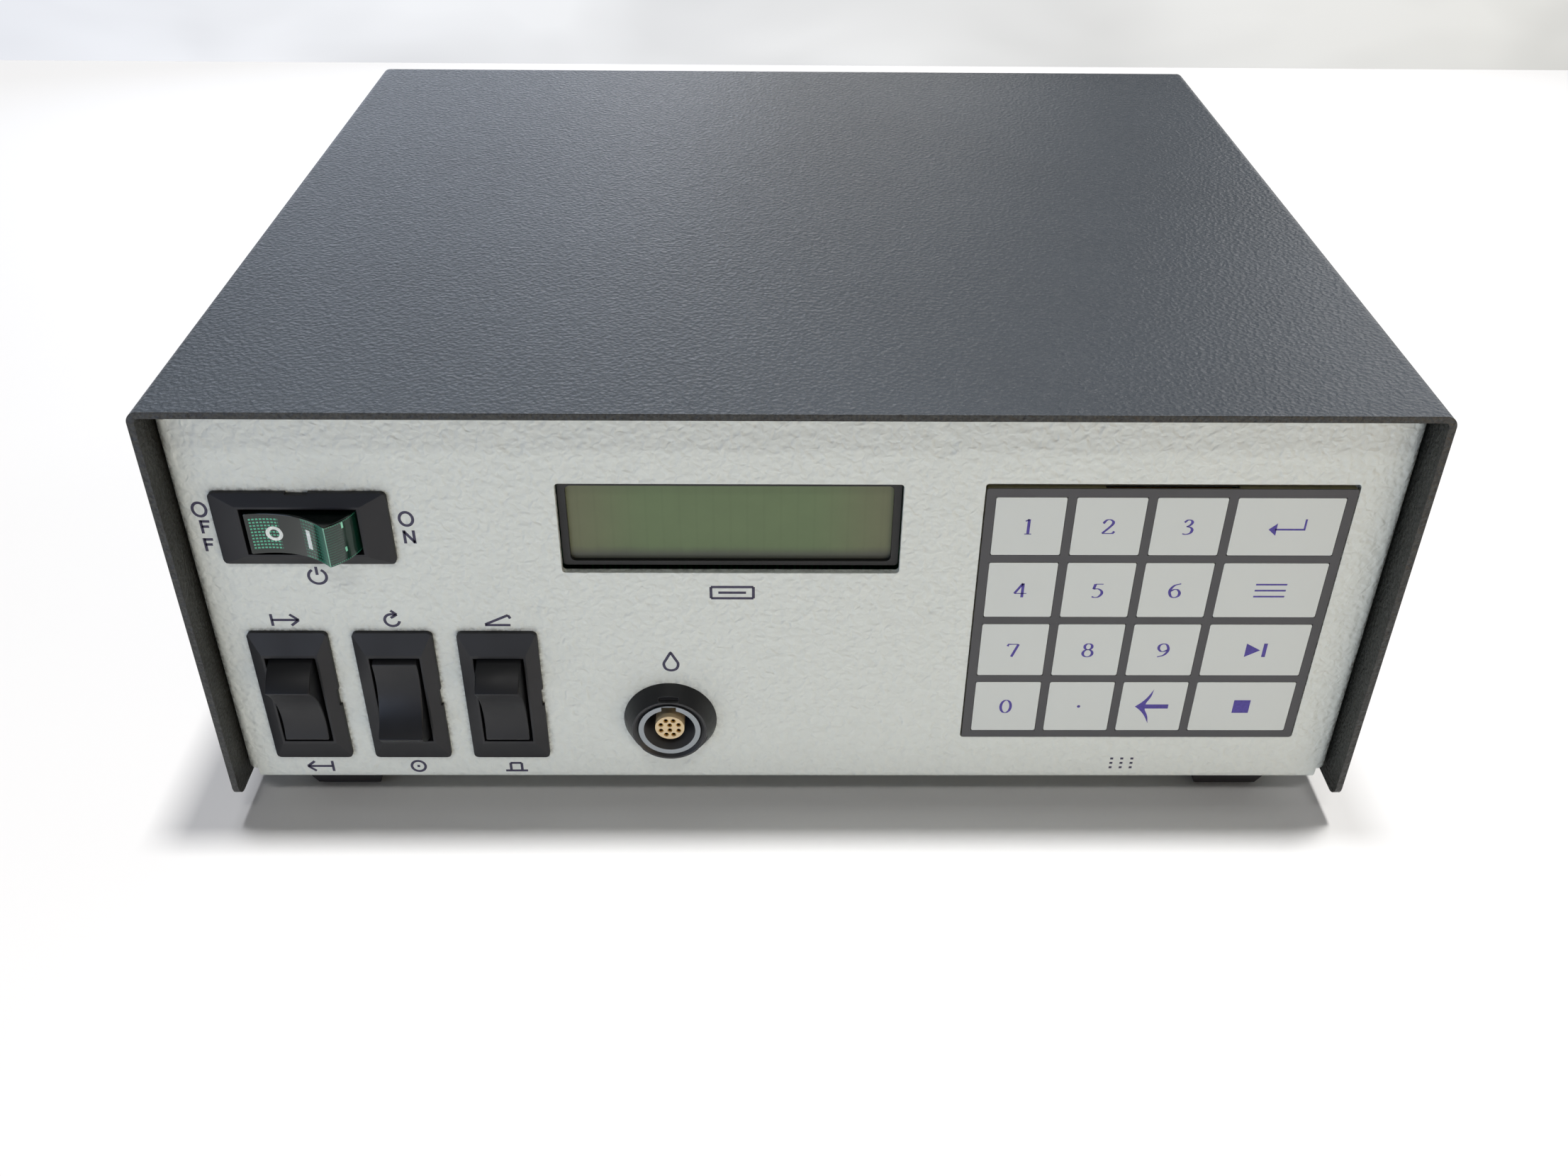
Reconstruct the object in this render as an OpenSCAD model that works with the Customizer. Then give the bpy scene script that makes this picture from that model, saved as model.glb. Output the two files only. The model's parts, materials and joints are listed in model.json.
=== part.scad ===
// Bench controller for a fluid dispenser. Its chassis is welded from three bent sheets, a base
// and the front and rear panels, and a cover bent into an inverted U slides over it. The front
// panel holds four rocker switches, a text display, a membrane keypad and a round socket.
// X runs to the right, Y from front to back and Z up. The origin is on the bench, under the
// middle of the box.

/* [Case] */
// Outside width of the cover
cover_w = 260; // [256:1:300]
// Length of the cover from its front edge to its rear edge
cover_d = 230.5; // [222:0.5:280]
// Height of the cover's top above the bench
case_h = 110.4; // [108:0.2:140]
// Thickness of the sheet steel
sheet_t = 1.5; // [1:0.1:2]
// Outside radius of the bends in the sheets
bend_r = 2.5; // [2.2:0.1:4]
// How far the cover reaches past the front and rear panels
overhang = 6.6; // [5.5:0.1:12]
// Gap between each side of the chassis and the cover
side_gap = 0.25; // [0.1:0.05:0.6]
// Width of the flanges along the tops and sides of the panels
flange_w = 14; // [12:1:18]
// Width of the flanges under the base, which the feet stand on
foot_flange_w = 26; // [25:1:60]
// Height of the lips along the sides of the base
lip_h = 18; // [16:1:24]
// How far the cover's sides stop above the underside of the chassis
cover_lift = 0.4; // [0:0.1:2]
// Radius of the lower corners of the cover's sides
cover_corner_r = 3; // [1:0.5:6]

/* [Fasteners] */
// Diameter of the case screws
screw_d = 4; // [3:0.5:5]
// Diameter of the case screws' heads
screw_head_d = 7.6; // [7:0.2:9]
// Height of the case screws' heads
screw_head_h = 2; // [1.6:0.1:2.6]
// Number of screws in each side of the cover
screws_per_side = 3; // [2:1:4]
// Distance from the first screw to the last along a side
screw_span = 160; // [120:5:180]
// Outside diameter of the clinch nuts
clinch_d = 8; // [7.6:0.2:10]
// Height of the clinch nuts
clinch_h = 4; // [3:0.5:5]

/* [Feet] */
// Height of the rubber feet
foot_h = 8; // [6:0.5:14]
// Width of a square foot where it meets the chassis
foot_top_w = 20; // [17:0.5:21]
// Width of a square foot on the bench
foot_bottom_w = 15; // [13:0.5:16.5]
// Distance of a foot's centre from the outside of the cover
foot_inset_x = 22.5; // [20:0.5:50]
// Distance of a foot's centre from the cover's front or rear edge
foot_inset_y = 21; // [20:0.5:22]

/* [Rocker switches] */
// Length of a switch bezel
bezel_l = 36.6; // [34:0.2:38]
// Width of a switch bezel
bezel_w = 17.7; // [16.5:0.1:19]
// How far the bezel stands off the panel
bezel_proud = 2.2; // [1.8:0.1:3]
// Height of the upright rim round the bezel
bezel_rim = 0.9; // [0.5:0.1:1.4]
// Radius of the bezel's corners
bezel_corner_r = 1.2; // [0.6:0.1:2]
// Length of the opening that the rocker moves in
opening_l = 24.3; // [24.2:0.1:25]
// Width of the opening that the rocker moves in
opening_w = 11.2; // [10.8:0.1:11.6]
// Depth of the switch housing behind the front of the panel
housing_depth = 24; // [18:0.5:30]
// Length of the cut-out that the housing snaps into
cutout_l = 28.6; // [28:0.1:30]
// Width of the cut-out that the housing snaps into
cutout_w = 14; // [13.6:0.1:14.6]
// Width of a rocker
rocker_w = 9.9; // [9.6:0.1:10.4]
// Radius of the rocker's ends about its pivot
rocker_r = 12.1; // [11.8:0.05:12.15]
// Depth of the hollow in the rocker's face
rocker_dish = 2.36; // [1:0.02:3]
// Height of the middle of the rocker's face above its pivot
rocker_rise = 5.5; // [4.5:0.1:6]
// Tilt of a rocker at rest, and as much the other way
rocker_tilt = 16; // [10:0.5:17]
// Depth of the pivot behind the front of the panel
pivot_depth = 2; // [1.8:0.1:3.6]
// Diameter of the rocker's trunnions
pivot_d = 3; // [2:0.1:3.4]
// Radial clearance of the trunnions in the housing
pivot_clear = 0.05; // [0.02:0.01:0.1]
// Distance of the power switch's middle from the cover's left side
power_inset = 27.6; // [25:0.2:34]
// Distance of the power switch and the display below the cover's top
upper_row_drop = 30.6; // [29.6:0.2:34]
// Distance of the middle selector switch from the cover's left side
selector_inset = 41.8; // [40:0.2:45]
// Distance between neighbouring selector switches
selector_pitch = 23.05; // [20:0.05:24]
// Height of the selector switches above the foot of the panel
selector_h = 26.2; // [24:0.2:30]

/* [Display] */
// Gap between the display's circuit board and the keypad's backer
lcd_side_gap = 1; // [0.5:0.5:8]
// Width of the window for the display
lcd_window_w = 72.3; // [70:0.1:80]
// Height of the window for the display
lcd_window_h = 22.3; // [21:0.1:24]
// Gap between the window and the top and sides of the display's frame
lcd_gap = 0.25; // [0.1:0.05:0.4]
// Gap between the window and the foot of the display's frame
lcd_foot_gap = 1.15; // [0.3:0.05:1.5]
// Depth of the frame's face behind the front of the panel
lcd_recess = 1.4; // [0.5:0.1:1.6]
// Depth of the glass behind the frame's face
lcd_glass_recess = 1; // [0.8:0.1:2]
// Visible width of the glass
lcd_view_w = 68.6; // [64:0.1:69]
// Visible height of the glass
lcd_view_h = 18.8; // [14:0.1:19]
// Thickness of the glass sandwich
lcd_glass_t = 2.2; // [1.6:0.1:2.8]
// Distance between the display's standoffs along the panel
lcd_hole_w = 87.4; // [86:0.1:92]
// Distance between the display's standoffs up the panel
lcd_hole_h = 39.6; // [36:0.1:42]
// Length of the display's standoffs
lcd_standoff_l = 6; // [5:0.5:10]
// Margin of the display's circuit board outside its holes
lcd_board_edge = 3.6; // [3:0.1:4.5]

/* [Keypad] */
// Distance of the keypad's middle from the cover's right side
keypad_inset = 51.25; // [50.5:0.25:56]
// Height of the keypad's centre above the foot of the panel
keypad_h = 47.7; // [46:0.1:52]
// Width of a narrow key
key_w = 15; // [12:0.1:15.2]
// Width of a key in the right-hand column
wide_key_w = 22.8; // [15:0.1:23]
// Height of every key
key_h = 14.6; // [12:0.1:15]
// Width of the bars between the keys
key_bar = 1.85; // [1.4:0.05:2.4]
// Width of the border round the keys
key_border = 2; // [1.6:0.1:3]
// Gap round each key, inside the bars
key_gap = 0.1; // [0.05:0.05:0.2]
// Travel of a key when it is pressed
key_travel = 0.35; // [0.2:0.05:0.4]
// Thickness of the printed film
film_t = 0.25; // [0.15:0.05:0.3]
// How far the film stands proud of the panel
keypad_proud = 0.15; // [0:0.05:0.5]
// Gap between the keypad and the sides of its window
keypad_side_gap = 0.3; // [0.1:0.05:0.6]
// Gap between the keypad and the top of its window
keypad_top_gap = 1.1; // [0.2:0.1:1.5]
// Gap between the keypad and the foot of its window
keypad_foot_gap = 0.1; // [0.05:0.05:0.5]

/* [Gun socket] */
// Distance of the socket left of the middle of the panel
socket_x = 27.7; // [20:0.1:35]
// Height of the socket above the foot of the panel
socket_h = 19; // [18:0.2:30]
// Outside diameter of the socket's shell
socket_d = 14.2; // [13.6:0.1:15]
// Inside diameter of the socket's shell
socket_bore = 11.8; // [11:0.1:12.4]
// Width of the keyway in the shell
keyway_w = 3.3; // [2:0.1:4]
// Diameter of the front nut on the panel
nut_base_d = 21.4; // [20:0.1:24]
// Diameter of the front nut's face
nut_face_d = 17; // [16.5:0.1:18]
// Height of the front nut
nut_h = 4.25; // [3:0.05:6]
// Diameter of the contact insert
insert_d = 6.7; // [6.4:0.1:7.4]
// Number of contacts in the outer ring
ring_contacts = 8; // [6:1:8]
// Length of the socket behind the front of the panel
socket_depth = 20; // [16:0.5:28]

/* [Rear panel] */
// Distance of the mains inlet's middle from the cover's left side, seen from the front
inlet_inset = 45; // [40:1:60]
// Height of the mains inlet above the foot of the panel
inlet_h = 42; // [34:0.5:60]
// Depth of the mains inlet behind the panel
inlet_depth = 22; // [18:0.5:28]
// Distance of the foot-switch jack right of the middle, seen from the front
jack_x = 14; // [0:1:30]
// Height of the foot-switch jack above the foot of the panel
jack_h = 32; // [24:0.5:60]
// Diameter of the jack's bore
jack_bore = 6.5; // [6.4:0.05:6.7]
// Number of cooling slots
vent_count = 10; // [4:1:11]
// Distance between neighbouring cooling slots
vent_pitch = 6; // [5:0.5:6.5]
// Height of a cooling slot
vent_h = 30; // [15:1:40]

/* [Inside] */
// Width of the main circuit board
board_w = 136; // [120:1:138]
// Depth of the main circuit board
board_d = 130; // [110:1:134]
// Gap between the main circuit board and the right side of the chassis
board_gap = 8; // [7:1:12]
// Height of the standoffs under the board
standoff_h = 8; // [5:0.5:12]
// Width of the transformer's core
core_w = 66; // [54:1:70]
// Height of the transformer's core
core_h = 55; // [45:1:60]
// Thickness of the stack of laminations
core_stack = 34; // [25:1:40]

/* [Hidden] */
$fn = 48;

// Reach of a cutting shape past the faces that it cuts
cut = 1;
// Clearance of a plain hole round what passes through it
hole_clear = 0.3;
// Play of a case screw in its nut
thread_clear = 0.05;

chassis_w = cover_w - 2 * sheet_t - 2 * side_gap;
chassis_d = cover_d - 2 * overhang;
chassis_h = case_h - foot_h - sheet_t;
cover_h = case_h - foot_h - cover_lift;
flat_w = chassis_w - 2 * bend_r;
bend_relief = 1.2;
lip_root = 0.5;
floor_z = foot_h + 2 * sheet_t;

foot_x = cover_w / 2 - foot_inset_x;
foot_y = cover_d / 2 - foot_inset_y;
foot_edge = 0.8;
foot_well_h = foot_h / 2;
side_screw_z = foot_h + lip_h / 2 + 1;
screw_length = sheet_t * 2 + side_gap + clinch_h;

power_x = cover_w / 2 - power_inset;
upper_row_h = case_h - foot_h - upper_row_drop;
selector_x = cover_w / 2 - selector_inset;
body_l = cutout_l - 0.2;
body_w = cutout_w - 0.2;
lip_t = 1.5;
cavity_l = 2 * rocker_r + 0.8;
cavity_depth = 9.5;
bezel_side_slope = 2.7;
bezel_end_slope = 5.4;
rocker_skirt = 1.5;
rocker_wall = 1.2;
rocker_half_l = sqrt(rocker_r * rocker_r - pow(rocker_ridge_h(), 2));
rocker_face_r = (pow(rocker_half_l, 2) + pow(rocker_dish, 2)) / (2 * rocker_dish);
lamp_d = 4;
lamp_l = 10;
blade_w = 6.3;
blade_t = 0.8;
blade_l = 8.5;

lcd_board_w = lcd_hole_w + 2 * lcd_board_edge;
lcd_board_h = lcd_hole_h + 2 * lcd_board_edge;
lcd_frame_w = lcd_window_w - 2 * lcd_gap;
lcd_frame_h = lcd_window_h - lcd_gap - lcd_foot_gap;
lcd_window_drop = (lcd_foot_gap - lcd_gap) / 2;
lcd_glass_z = -lcd_recess - lcd_glass_recess;
lcd_board_z = -sheet_t - lcd_standoff_l;
lcd_wall = 0.6;
pcb_t = 1.6;
m3 = 3;
m3_head_d = 6;
m3_nut_af = 5.5;
m3_nut_h = 2.4;

key_cols = [key_w, key_w, key_w, wide_key_w];
key_rows = 4;
keypad_w = 3 * key_w + wide_key_w + 3 * key_bar + 2 * key_border;
keypad_x = cover_w / 2 - keypad_inset;
keypad_tall = key_rows * key_h + (key_rows - 1) * key_bar + 2 * key_border;
key_plate_t = film_t + 0.25;
key_pocket_t = key_plate_t + key_travel + 0.25;
backer_t = 1.5;
backer_margin = 5;
lcd_x = lcd_board_w / 2 + lcd_side_gap + backer_margin + keypad_w / 2 - keypad_x;
tail_w = 26;
tail_t = 0.4;

insert_recess = 0.85;
socket_cavity_l = 12;
contact_d = 1.15;
contact_bore = 0.8;
contact_ring_r = 2.2;
contact_mid_r = 0.75;
socket_nut_af = 17;

inlet_x = cover_w / 2 - inlet_inset;
inlet_flange_w = 50;
inlet_flange_h = 33;
inlet_flange_t = 2.4;
inlet_body_w = 27;
inlet_body_h = 30;
inlet_cavity_w = 24.4;
inlet_cavity_h = 16.4;
inlet_cavity_d = 15;
inlet_cavity_y = 5.4;
inlet_pin_x = 7;
drawer_w = 21.6;
drawer_h = 8;
drawer_l = 19;
drawer_y = -9.4;
drawer_clear = 0.15;
jack_bushing_d = 9.5;
jack_bushing_l = 4.5;

board_x = chassis_w / 2 - board_gap - board_w / 2;
board_y = 8;
board_z = floor_z + standoff_h;
board_hole_inset = 5;
sink_w = 54;
sink_h = 36;
sink_base_t = 4;
sink_fin_l = 16;
sink_inset = 4;
transistor = [10, 4.6, 19];
transistor_pitch = 14;
strap_t = 1.2;
strap_foot = 12;
core_x = strap_foot + strap_t + core_w / 2 + sheet_t + 2 - chassis_w / 2;
core_y = 10;
core_leg = core_w / 3;
core_window_w = core_w / 6;
core_window_h = core_h - core_leg;

// Height of the rocker's end ridges above its pivot
function rocker_ridge_h() = rocker_rise + rocker_dish;

// Left edge of key column i, from the keypad's centre
function key_left(i) = i == 0
    ? -keypad_w / 2 + key_border
    : key_left(i - 1) + key_cols[i - 1] + key_bar;

// Centre of the key in column i and row j, from the keypad's centre
function key_centre(i, j) = [
    key_left(i) + key_cols[i] / 2,
    keypad_tall / 2 - key_border - key_h / 2 - j * (key_h + key_bar)];

// Places its children on the front panel: X to the right, Y up, Z out of the panel
module on_front(x, h) {
    translate([x, -chassis_d / 2, foot_h + h])
        rotate([90, 0, 0])
            children();
}

// Places its children on the rear panel as someone behind the box sees it
module on_rear(x, h) {
    translate([x, chassis_d / 2, foot_h + h])
        rotate([90, 0, 180])
            children();
}

// Flat shape with four rounded corners
module rounded_plate(w, h, r) {
    union() {
        square([w - 2 * r, h], center = true);
        square([w, h - 2 * r], center = true);
        for (sx = [-1, 1], sy = [-1, 1])
            translate([sx * (w / 2 - r), sy * (h / 2 - r)])
                circle(r);
    }
}

// Upright slot with round ends
module slot_shape(w, h) {
    union() {
        square([w, h - w], center = true);
        for (s = [-1, 1])
            translate([0, s * (h - w) / 2])
                circle(w / 2);
    }
}

// Repeats its children at the four corners of a rectangle
module at_corners(w, h) {
    for (sx = [-1, 1], sy = [-1, 1])
        translate([sx * w / 2, sy * h / 2, 0])
            children();
}

// Pan-head screw with its head's seat at the origin and its shank pointing down
module pan_screw(d, length, head_d, head_h) {
    dome_r = (pow(head_d / 2, 2) + pow(head_h, 2)) / (2 * head_h);
    difference() {
        union() {
            translate([0, 0, -length])
                cylinder(d = d, h = length + head_h / 2);
            intersection() {
                cylinder(d = head_d, h = head_h);
                translate([0, 0, head_h - dome_r])
                    sphere(dome_r, $fn = 64);
            }
        }
        for (a = [0, 90])
            rotate([0, 0, a])
                translate([-head_d / 4, -head_d / 16, head_h / 2])
                    cube([head_d / 2, head_d / 8, head_h]);
    }
}

// Countersunk screw with the top of its head at the origin and its shank pointing down
module flat_screw(d, length, head_d) {
    head_h = (head_d - d) / 2;
    slot_h = 0.7;
    difference() {
        union() {
            translate([0, 0, -length])
                cylinder(d = d, h = length - head_h / 2);
            translate([0, 0, -head_h])
                cylinder(d1 = d, d2 = head_d, h = head_h);
        }
        for (a = [0, 90])
            rotate([0, 0, a])
                translate([-head_d / 4, -head_d / 16, -slot_h])
                    cube([head_d / 2, head_d / 8, 2 * slot_h]);
    }
}

// Hexagon nut that stands on the origin
module hex_nut(af, h, bore) {
    difference() {
        cylinder(d = af / cos(30), h = h, $fn = 6);
        translate([0, 0, -cut])
            cylinder(d = bore, h = h + 2 * cut);
    }
}

// Section of a lip that a sheet along -X turns up into, its outer corner at the origin
module lip_section(reach) {
    union() {
        translate([-bend_r - lip_root, 0])
            square([lip_root, sheet_t]);
        intersection() {
            translate([-bend_r, bend_r])
                difference() {
                    circle(bend_r);
                    circle(bend_r - sheet_t);
                }
            translate([-bend_r, 0])
                square(bend_r);
        }
        translate([-sheet_t, bend_r])
            square([sheet_t, reach - bend_r]);
    }
}

// Side view of the front panel: the upright sheet with a flange along its top and its foot
module panel_section() {
    difference() {
        translate([foot_flange_w, chassis_h / 2])
            rounded_plate(2 * foot_flange_w, chassis_h, bend_r);
        translate([foot_flange_w, chassis_h / 2])
            rounded_plate(2 * (foot_flange_w - sheet_t), chassis_h - 2 * sheet_t,
                bend_r - sheet_t);
        translate([foot_flange_w, -cut])
            square([foot_flange_w + cut, chassis_h + 2 * cut]);
        translate([flange_w, chassis_h / 2])
            square([foot_flange_w, chassis_h]);
    }
}

// Front panel without its openings: the bent sheet and the flanges along its two sides
module blank_panel() {
    translate([0, -chassis_d / 2, foot_h])
        union() {
            rotate([90, 0, 90])
                linear_extrude(flat_w, center = true)
                    panel_section();
            for (m = [0, 1])
                mirror([m, 0, 0])
                    translate([chassis_w / 2, 0, bend_r + bend_relief])
                        linear_extrude(chassis_h - 2 * (bend_r + bend_relief))
                            lip_section(flange_w);
        }
}

// Cuts its flat children out of a panel
module panel_cutout() {
    translate([0, 0, -sheet_t - cut])
        linear_extrude(sheet_t + 2 * cut)
            children();
}

// Floor of the chassis, spot-welded on the panels' lower flanges, with a lip up each side
module base() {
    base_d = chassis_d - 2 * bend_r;
    color("#b9bcb5")
    difference() {
        translate([0, 0, foot_h + sheet_t])
            union() {
                translate([-flat_w / 2, -base_d / 2, 0])
                    cube([flat_w, base_d, sheet_t]);
                for (m = [0, 1])
                    mirror([m, 0, 0])
                        translate([chassis_w / 2, 0, 0])
                            rotate([90, 0, 0])
                                linear_extrude(chassis_d - 2 * (flange_w + bend_relief),
                                    center = true)
                                    lip_section(lip_h);
            }
        at_corners(2 * foot_x, 2 * foot_y)
            translate([0, 0, foot_h - cut])
                cylinder(d = screw_d + hole_clear, h = 2 * (sheet_t + cut));
        at_side_screws()
            translate([0, 0, -2 * sheet_t - side_gap - cut])
                cylinder(d = screw_d + hole_clear, h = sheet_t + 2 * cut);
        at_strap_screws(foot_h)
            cylinder(d = screw_d + hole_clear, h = 2 * sheet_t + cut);
    }
}

// Holes for the feet's screws in the panels' lower flanges
module foot_holes() {
    at_corners(2 * foot_x, 2 * foot_y)
        translate([0, 0, foot_h - cut])
            cylinder(d = screw_d + hole_clear, h = sheet_t + 2 * cut);
}

module front_panel() {
    color("#c3c6bf")
    difference() {
        blank_panel();
        on_front(-power_x, upper_row_h)
            panel_cutout()
                square([cutout_l, cutout_w], center = true);
        for (i = [-1, 0, 1])
            on_front(-selector_x + i * selector_pitch, selector_h)
                panel_cutout()
                    square([cutout_w, cutout_l], center = true);
        on_front(-lcd_x, upper_row_h - lcd_window_drop)
            panel_cutout()
                rounded_plate(lcd_window_w, lcd_window_h, 0.8);
        on_front(keypad_x, keypad_h + (keypad_top_gap - keypad_foot_gap) / 2)
            panel_cutout()
                rounded_plate(keypad_w + 2 * keypad_side_gap,
                    keypad_tall + keypad_top_gap + keypad_foot_gap, 0.7);
        on_front(-socket_x, socket_h)
            panel_cutout()
                circle(d = socket_d + hole_clear);
        foot_holes();
    }
}

module rear_panel() {
    color("#bcbfb8")
    difference() {
        mirror([0, 1, 0])
            blank_panel();
        rear_cutouts();
        foot_holes();
    }
}

// Openings in the rear panel: mains inlet, jack and cooling slots
module rear_cutouts() {
    on_rear(-inlet_x, inlet_h)
        panel_cutout()
            square([inlet_body_w + hole_clear, inlet_body_h + hole_clear], center = true);
    on_rear(-inlet_x, inlet_h)
        panel_cutout()
            for (s = [-1, 1])
                translate([s * inlet_screw_x(), 0])
                    circle(d = m3 + hole_clear);
    on_rear(jack_x, jack_h)
        panel_cutout()
            circle(d = jack_bushing_d + hole_clear);
    on_rear(vent_x(), inlet_h)
        panel_cutout()
            for (i = [0 : vent_count - 1])
                translate([(i - (vent_count - 1) / 2) * vent_pitch, 0])
                    slot_shape(vent_pitch / 2, vent_h);
}

// Middle of the row of cooling slots
function vent_x() = chassis_w / 2 - 20 - vent_count * vent_pitch / 2;

// Distance of the mains inlet's screws from its middle
function inlet_screw_x() = inlet_flange_w / 2 - 5;

// Puts its children where the strap's screws go, at the given height
module at_strap_screws(z) {
    for (s = [-1, 1])
        translate([core_x + s * (core_w / 2 + strap_t + strap_foot / 2), core_y, z])
            children();
}

// Puts its children at each case screw's seat, with Z pointing out of the cover
module at_side_screws() {
    for (side = [-1, 1], i = [0 : screws_per_side - 1])
        translate([side * cover_w / 2, (i / (screws_per_side - 1) - 0.5) * screw_span, side_screw_z])
            rotate([0, side * 90, 0])
                children();
}

module cover() {
    color("#46484d")
    difference() {
        intersection() {
            rotate([90, 0, 0])
                linear_extrude(cover_d, center = true)
                    translate([0, case_h - cover_h])
                        difference() {
                            rounded_plate(cover_w, 2 * cover_h, bend_r);
                            rounded_plate(cover_w - 2 * sheet_t, 2 * (cover_h - sheet_t),
                                bend_r - sheet_t);
                            translate([0, -cover_h])
                                square([2 * cover_w, 2 * cover_h], center = true);
                        }
            rotate([90, 0, 90])
                linear_extrude(cover_w + 2 * cut, center = true)
                    translate([0, case_h])
                        rounded_plate(cover_d, 2 * cover_h, cover_corner_r);
        }
        at_side_screws()
            translate([0, 0, -sheet_t - cut / 2])
                cylinder(d = screw_d + hole_clear, h = sheet_t + cut);
    }
}

module cover_screws() {
    color("#26272a")
    at_side_screws()
        pan_screw(screw_d, screw_length, screw_head_d, screw_head_h);
}

// Clinch nut that stands on the origin
module clinch_nut() {
    difference() {
        cylinder(d = clinch_d, h = clinch_h);
        translate([0, 0, -cut])
            cylinder(d = screw_d + 2 * thread_clear, h = clinch_h + 2 * cut);
    }
}

module clinch_nuts() {
    color("#b9bcc0")
    union() {
        at_side_screws()
            translate([0, 0, -2 * sheet_t - side_gap - clinch_h])
                clinch_nut();
        at_corners(2 * foot_x, 2 * foot_y)
            translate([0, 0, floor_z])
                clinch_nut();
    }
}

// Bar along Y with the foot's tapered side view for its section
module foot_bar() {
    rotate([90, 0, 0])
        linear_extrude(2 * foot_top_w, center = true)
            polygon([
                [foot_edge - foot_bottom_w / 2, 0],
                [foot_bottom_w / 2 - foot_edge, 0],
                [foot_bottom_w / 2, foot_edge],
                [foot_top_w / 2, foot_h],
                [-foot_top_w / 2, foot_h],
                [-foot_bottom_w / 2, foot_edge]]);
}

// Square tapered foot with a well for its screw's head
module foot() {
    difference() {
        intersection() {
            foot_bar();
            rotate([0, 0, 90])
                foot_bar();
            linear_extrude(foot_h)
                rounded_plate(foot_top_w, foot_top_w, 2 * foot_edge);
        }
        translate([0, 0, -cut])
            cylinder(d = screw_head_d + 1, h = foot_well_h + cut);
        cylinder(d = screw_d + hole_clear, h = foot_h + cut);
    }
}

module feet() {
    color("#1d1d1f")
    at_corners(2 * foot_x, 2 * foot_y)
        foot();
}

module foot_screws() {
    color("#b9bcc0")
    at_corners(2 * foot_x, 2 * foot_y)
        translate([0, 0, foot_well_h])
            rotate([180, 0, 0])
                pan_screw(screw_d, floor_z - foot_well_h + clinch_h - 1,
                    screw_head_d, screw_head_h);
}

// Bar with a low trapezium for its section, as long as the bezel's other side
module bezel_bar(l, w, slope) {
    rotate([90, 0, 0])
        linear_extrude(w + 2 * cut, center = true)
            polygon([
                [-l / 2, 0],
                [l / 2, 0],
                [l / 2, bezel_rim],
                [l / 2 - slope, bezel_proud],
                [-l / 2 + slope, bezel_proud],
                [-l / 2, bezel_rim]]);
}

// Wedge that springs out behind the panel and holds the housing in
module snap_barb() {
    barb = 1.3;
    barb_l = 6;
    rotate([90, 0, 0])
        linear_extrude(body_w - 5, center = true)
            polygon([
                [body_l / 2 - 0.2, -sheet_t],
                [body_l / 2 + barb, -sheet_t],
                [body_l / 2, -sheet_t - barb_l],
                [body_l / 2 - 0.2, -sheet_t - barb_l]]);
}

// Housing of a snap-in rocker switch, its long side along X, seen from the front
module switch_housing() {
    pry_slot_w = 4.6;
    pry_slot_h = 0.4;
    difference() {
        union() {
            intersection() {
                bezel_bar(bezel_l, bezel_w, bezel_end_slope);
                rotate([0, 0, 90])
                    bezel_bar(bezel_w, bezel_l, bezel_side_slope);
                linear_extrude(bezel_proud)
                    rounded_plate(bezel_l, bezel_w, bezel_corner_r);
            }
            translate([-body_l / 2, -body_w / 2, -housing_depth])
                cube([body_l, body_w, housing_depth + bezel_rim / 2]);
            for (m = [0, 1])
                mirror([m, 0, 0])
                    snap_barb();
        }
        translate([-opening_l / 2, -opening_w / 2, -cut])
            cube([opening_l, opening_w, bezel_proud + 2 * cut]);
        translate([-cavity_l / 2, -opening_w / 2, -cavity_depth])
            cube([cavity_l, opening_w, cavity_depth + bezel_proud - lip_t]);
        translate([0, 0, -pivot_depth])
            rotate([90, 0, 0])
                cylinder(d = pivot_d + 2 * pivot_clear, h = body_w + 2 * cut, center = true);
        translate([-pry_slot_w / 2, bezel_w / 2 - pry_slot_h, -cut])
            cube([pry_slot_w, 2 * pry_slot_h, bezel_proud + cut]);
    }
}

// Outline of the rocker's side about its pivot, drawn in by the given inset
module rocker_section(inset, skirt) {
    difference() {
        circle(rocker_r - inset, $fn = 96);
        translate([0, rocker_rise + rocker_face_r])
            circle(rocker_face_r + inset, $fn = 96);
        translate([-2 * rocker_r, -skirt - 2 * rocker_r])
            square([4 * rocker_r, 2 * rocker_r]);
    }
}

// Hollow rocker with trunnions, turned about its pivot by the given tilt
module rocker(tilt) {
    trunnion_l = body_w - 0.6;
    translate([0, 0, -pivot_depth])
        rotate([0, tilt, 0])
            difference() {
                union() {
                    rotate([90, 0, 0])
                        linear_extrude(rocker_w, center = true)
                            rocker_section(0, rocker_skirt);
                    rotate([90, 0, 0])
                        cylinder(d = pivot_d, h = trunnion_l, center = true);
                }
                rotate([90, 0, 0])
                    linear_extrude(rocker_w - 2 * rocker_wall, center = true)
                        rocker_section(rocker_wall, rocker_skirt + cut);
            }
}

// Push-on terminal, its root at the origin, pointing down
module blade_terminal() {
    tip = 1.2;
    rotate([90, 0, 0])
        linear_extrude(blade_t, center = true)
            difference() {
                polygon([
                    [-blade_w / 2, 0],
                    [blade_w / 2, 0],
                    [blade_w / 2, tip - blade_l],
                    [blade_w / 2 - tip, -blade_l],
                    [tip - blade_w / 2, -blade_l],
                    [-blade_w / 2, tip - blade_l]]);
                translate([0, -blade_l / 2])
                    circle(d = 1.6);
            }
}

// Puts its children on the power switch, the pressed end to the left
module at_power_switch() {
    on_front(-power_x, upper_row_h)
        children();
}

// Puts its children on selector switch i, counted from the left, X pointing down the panel
module at_selector(i) {
    on_front(-selector_x + (i - 1) * selector_pitch, selector_h)
        rotate([0, 0, -90])
            children();
}

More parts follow.
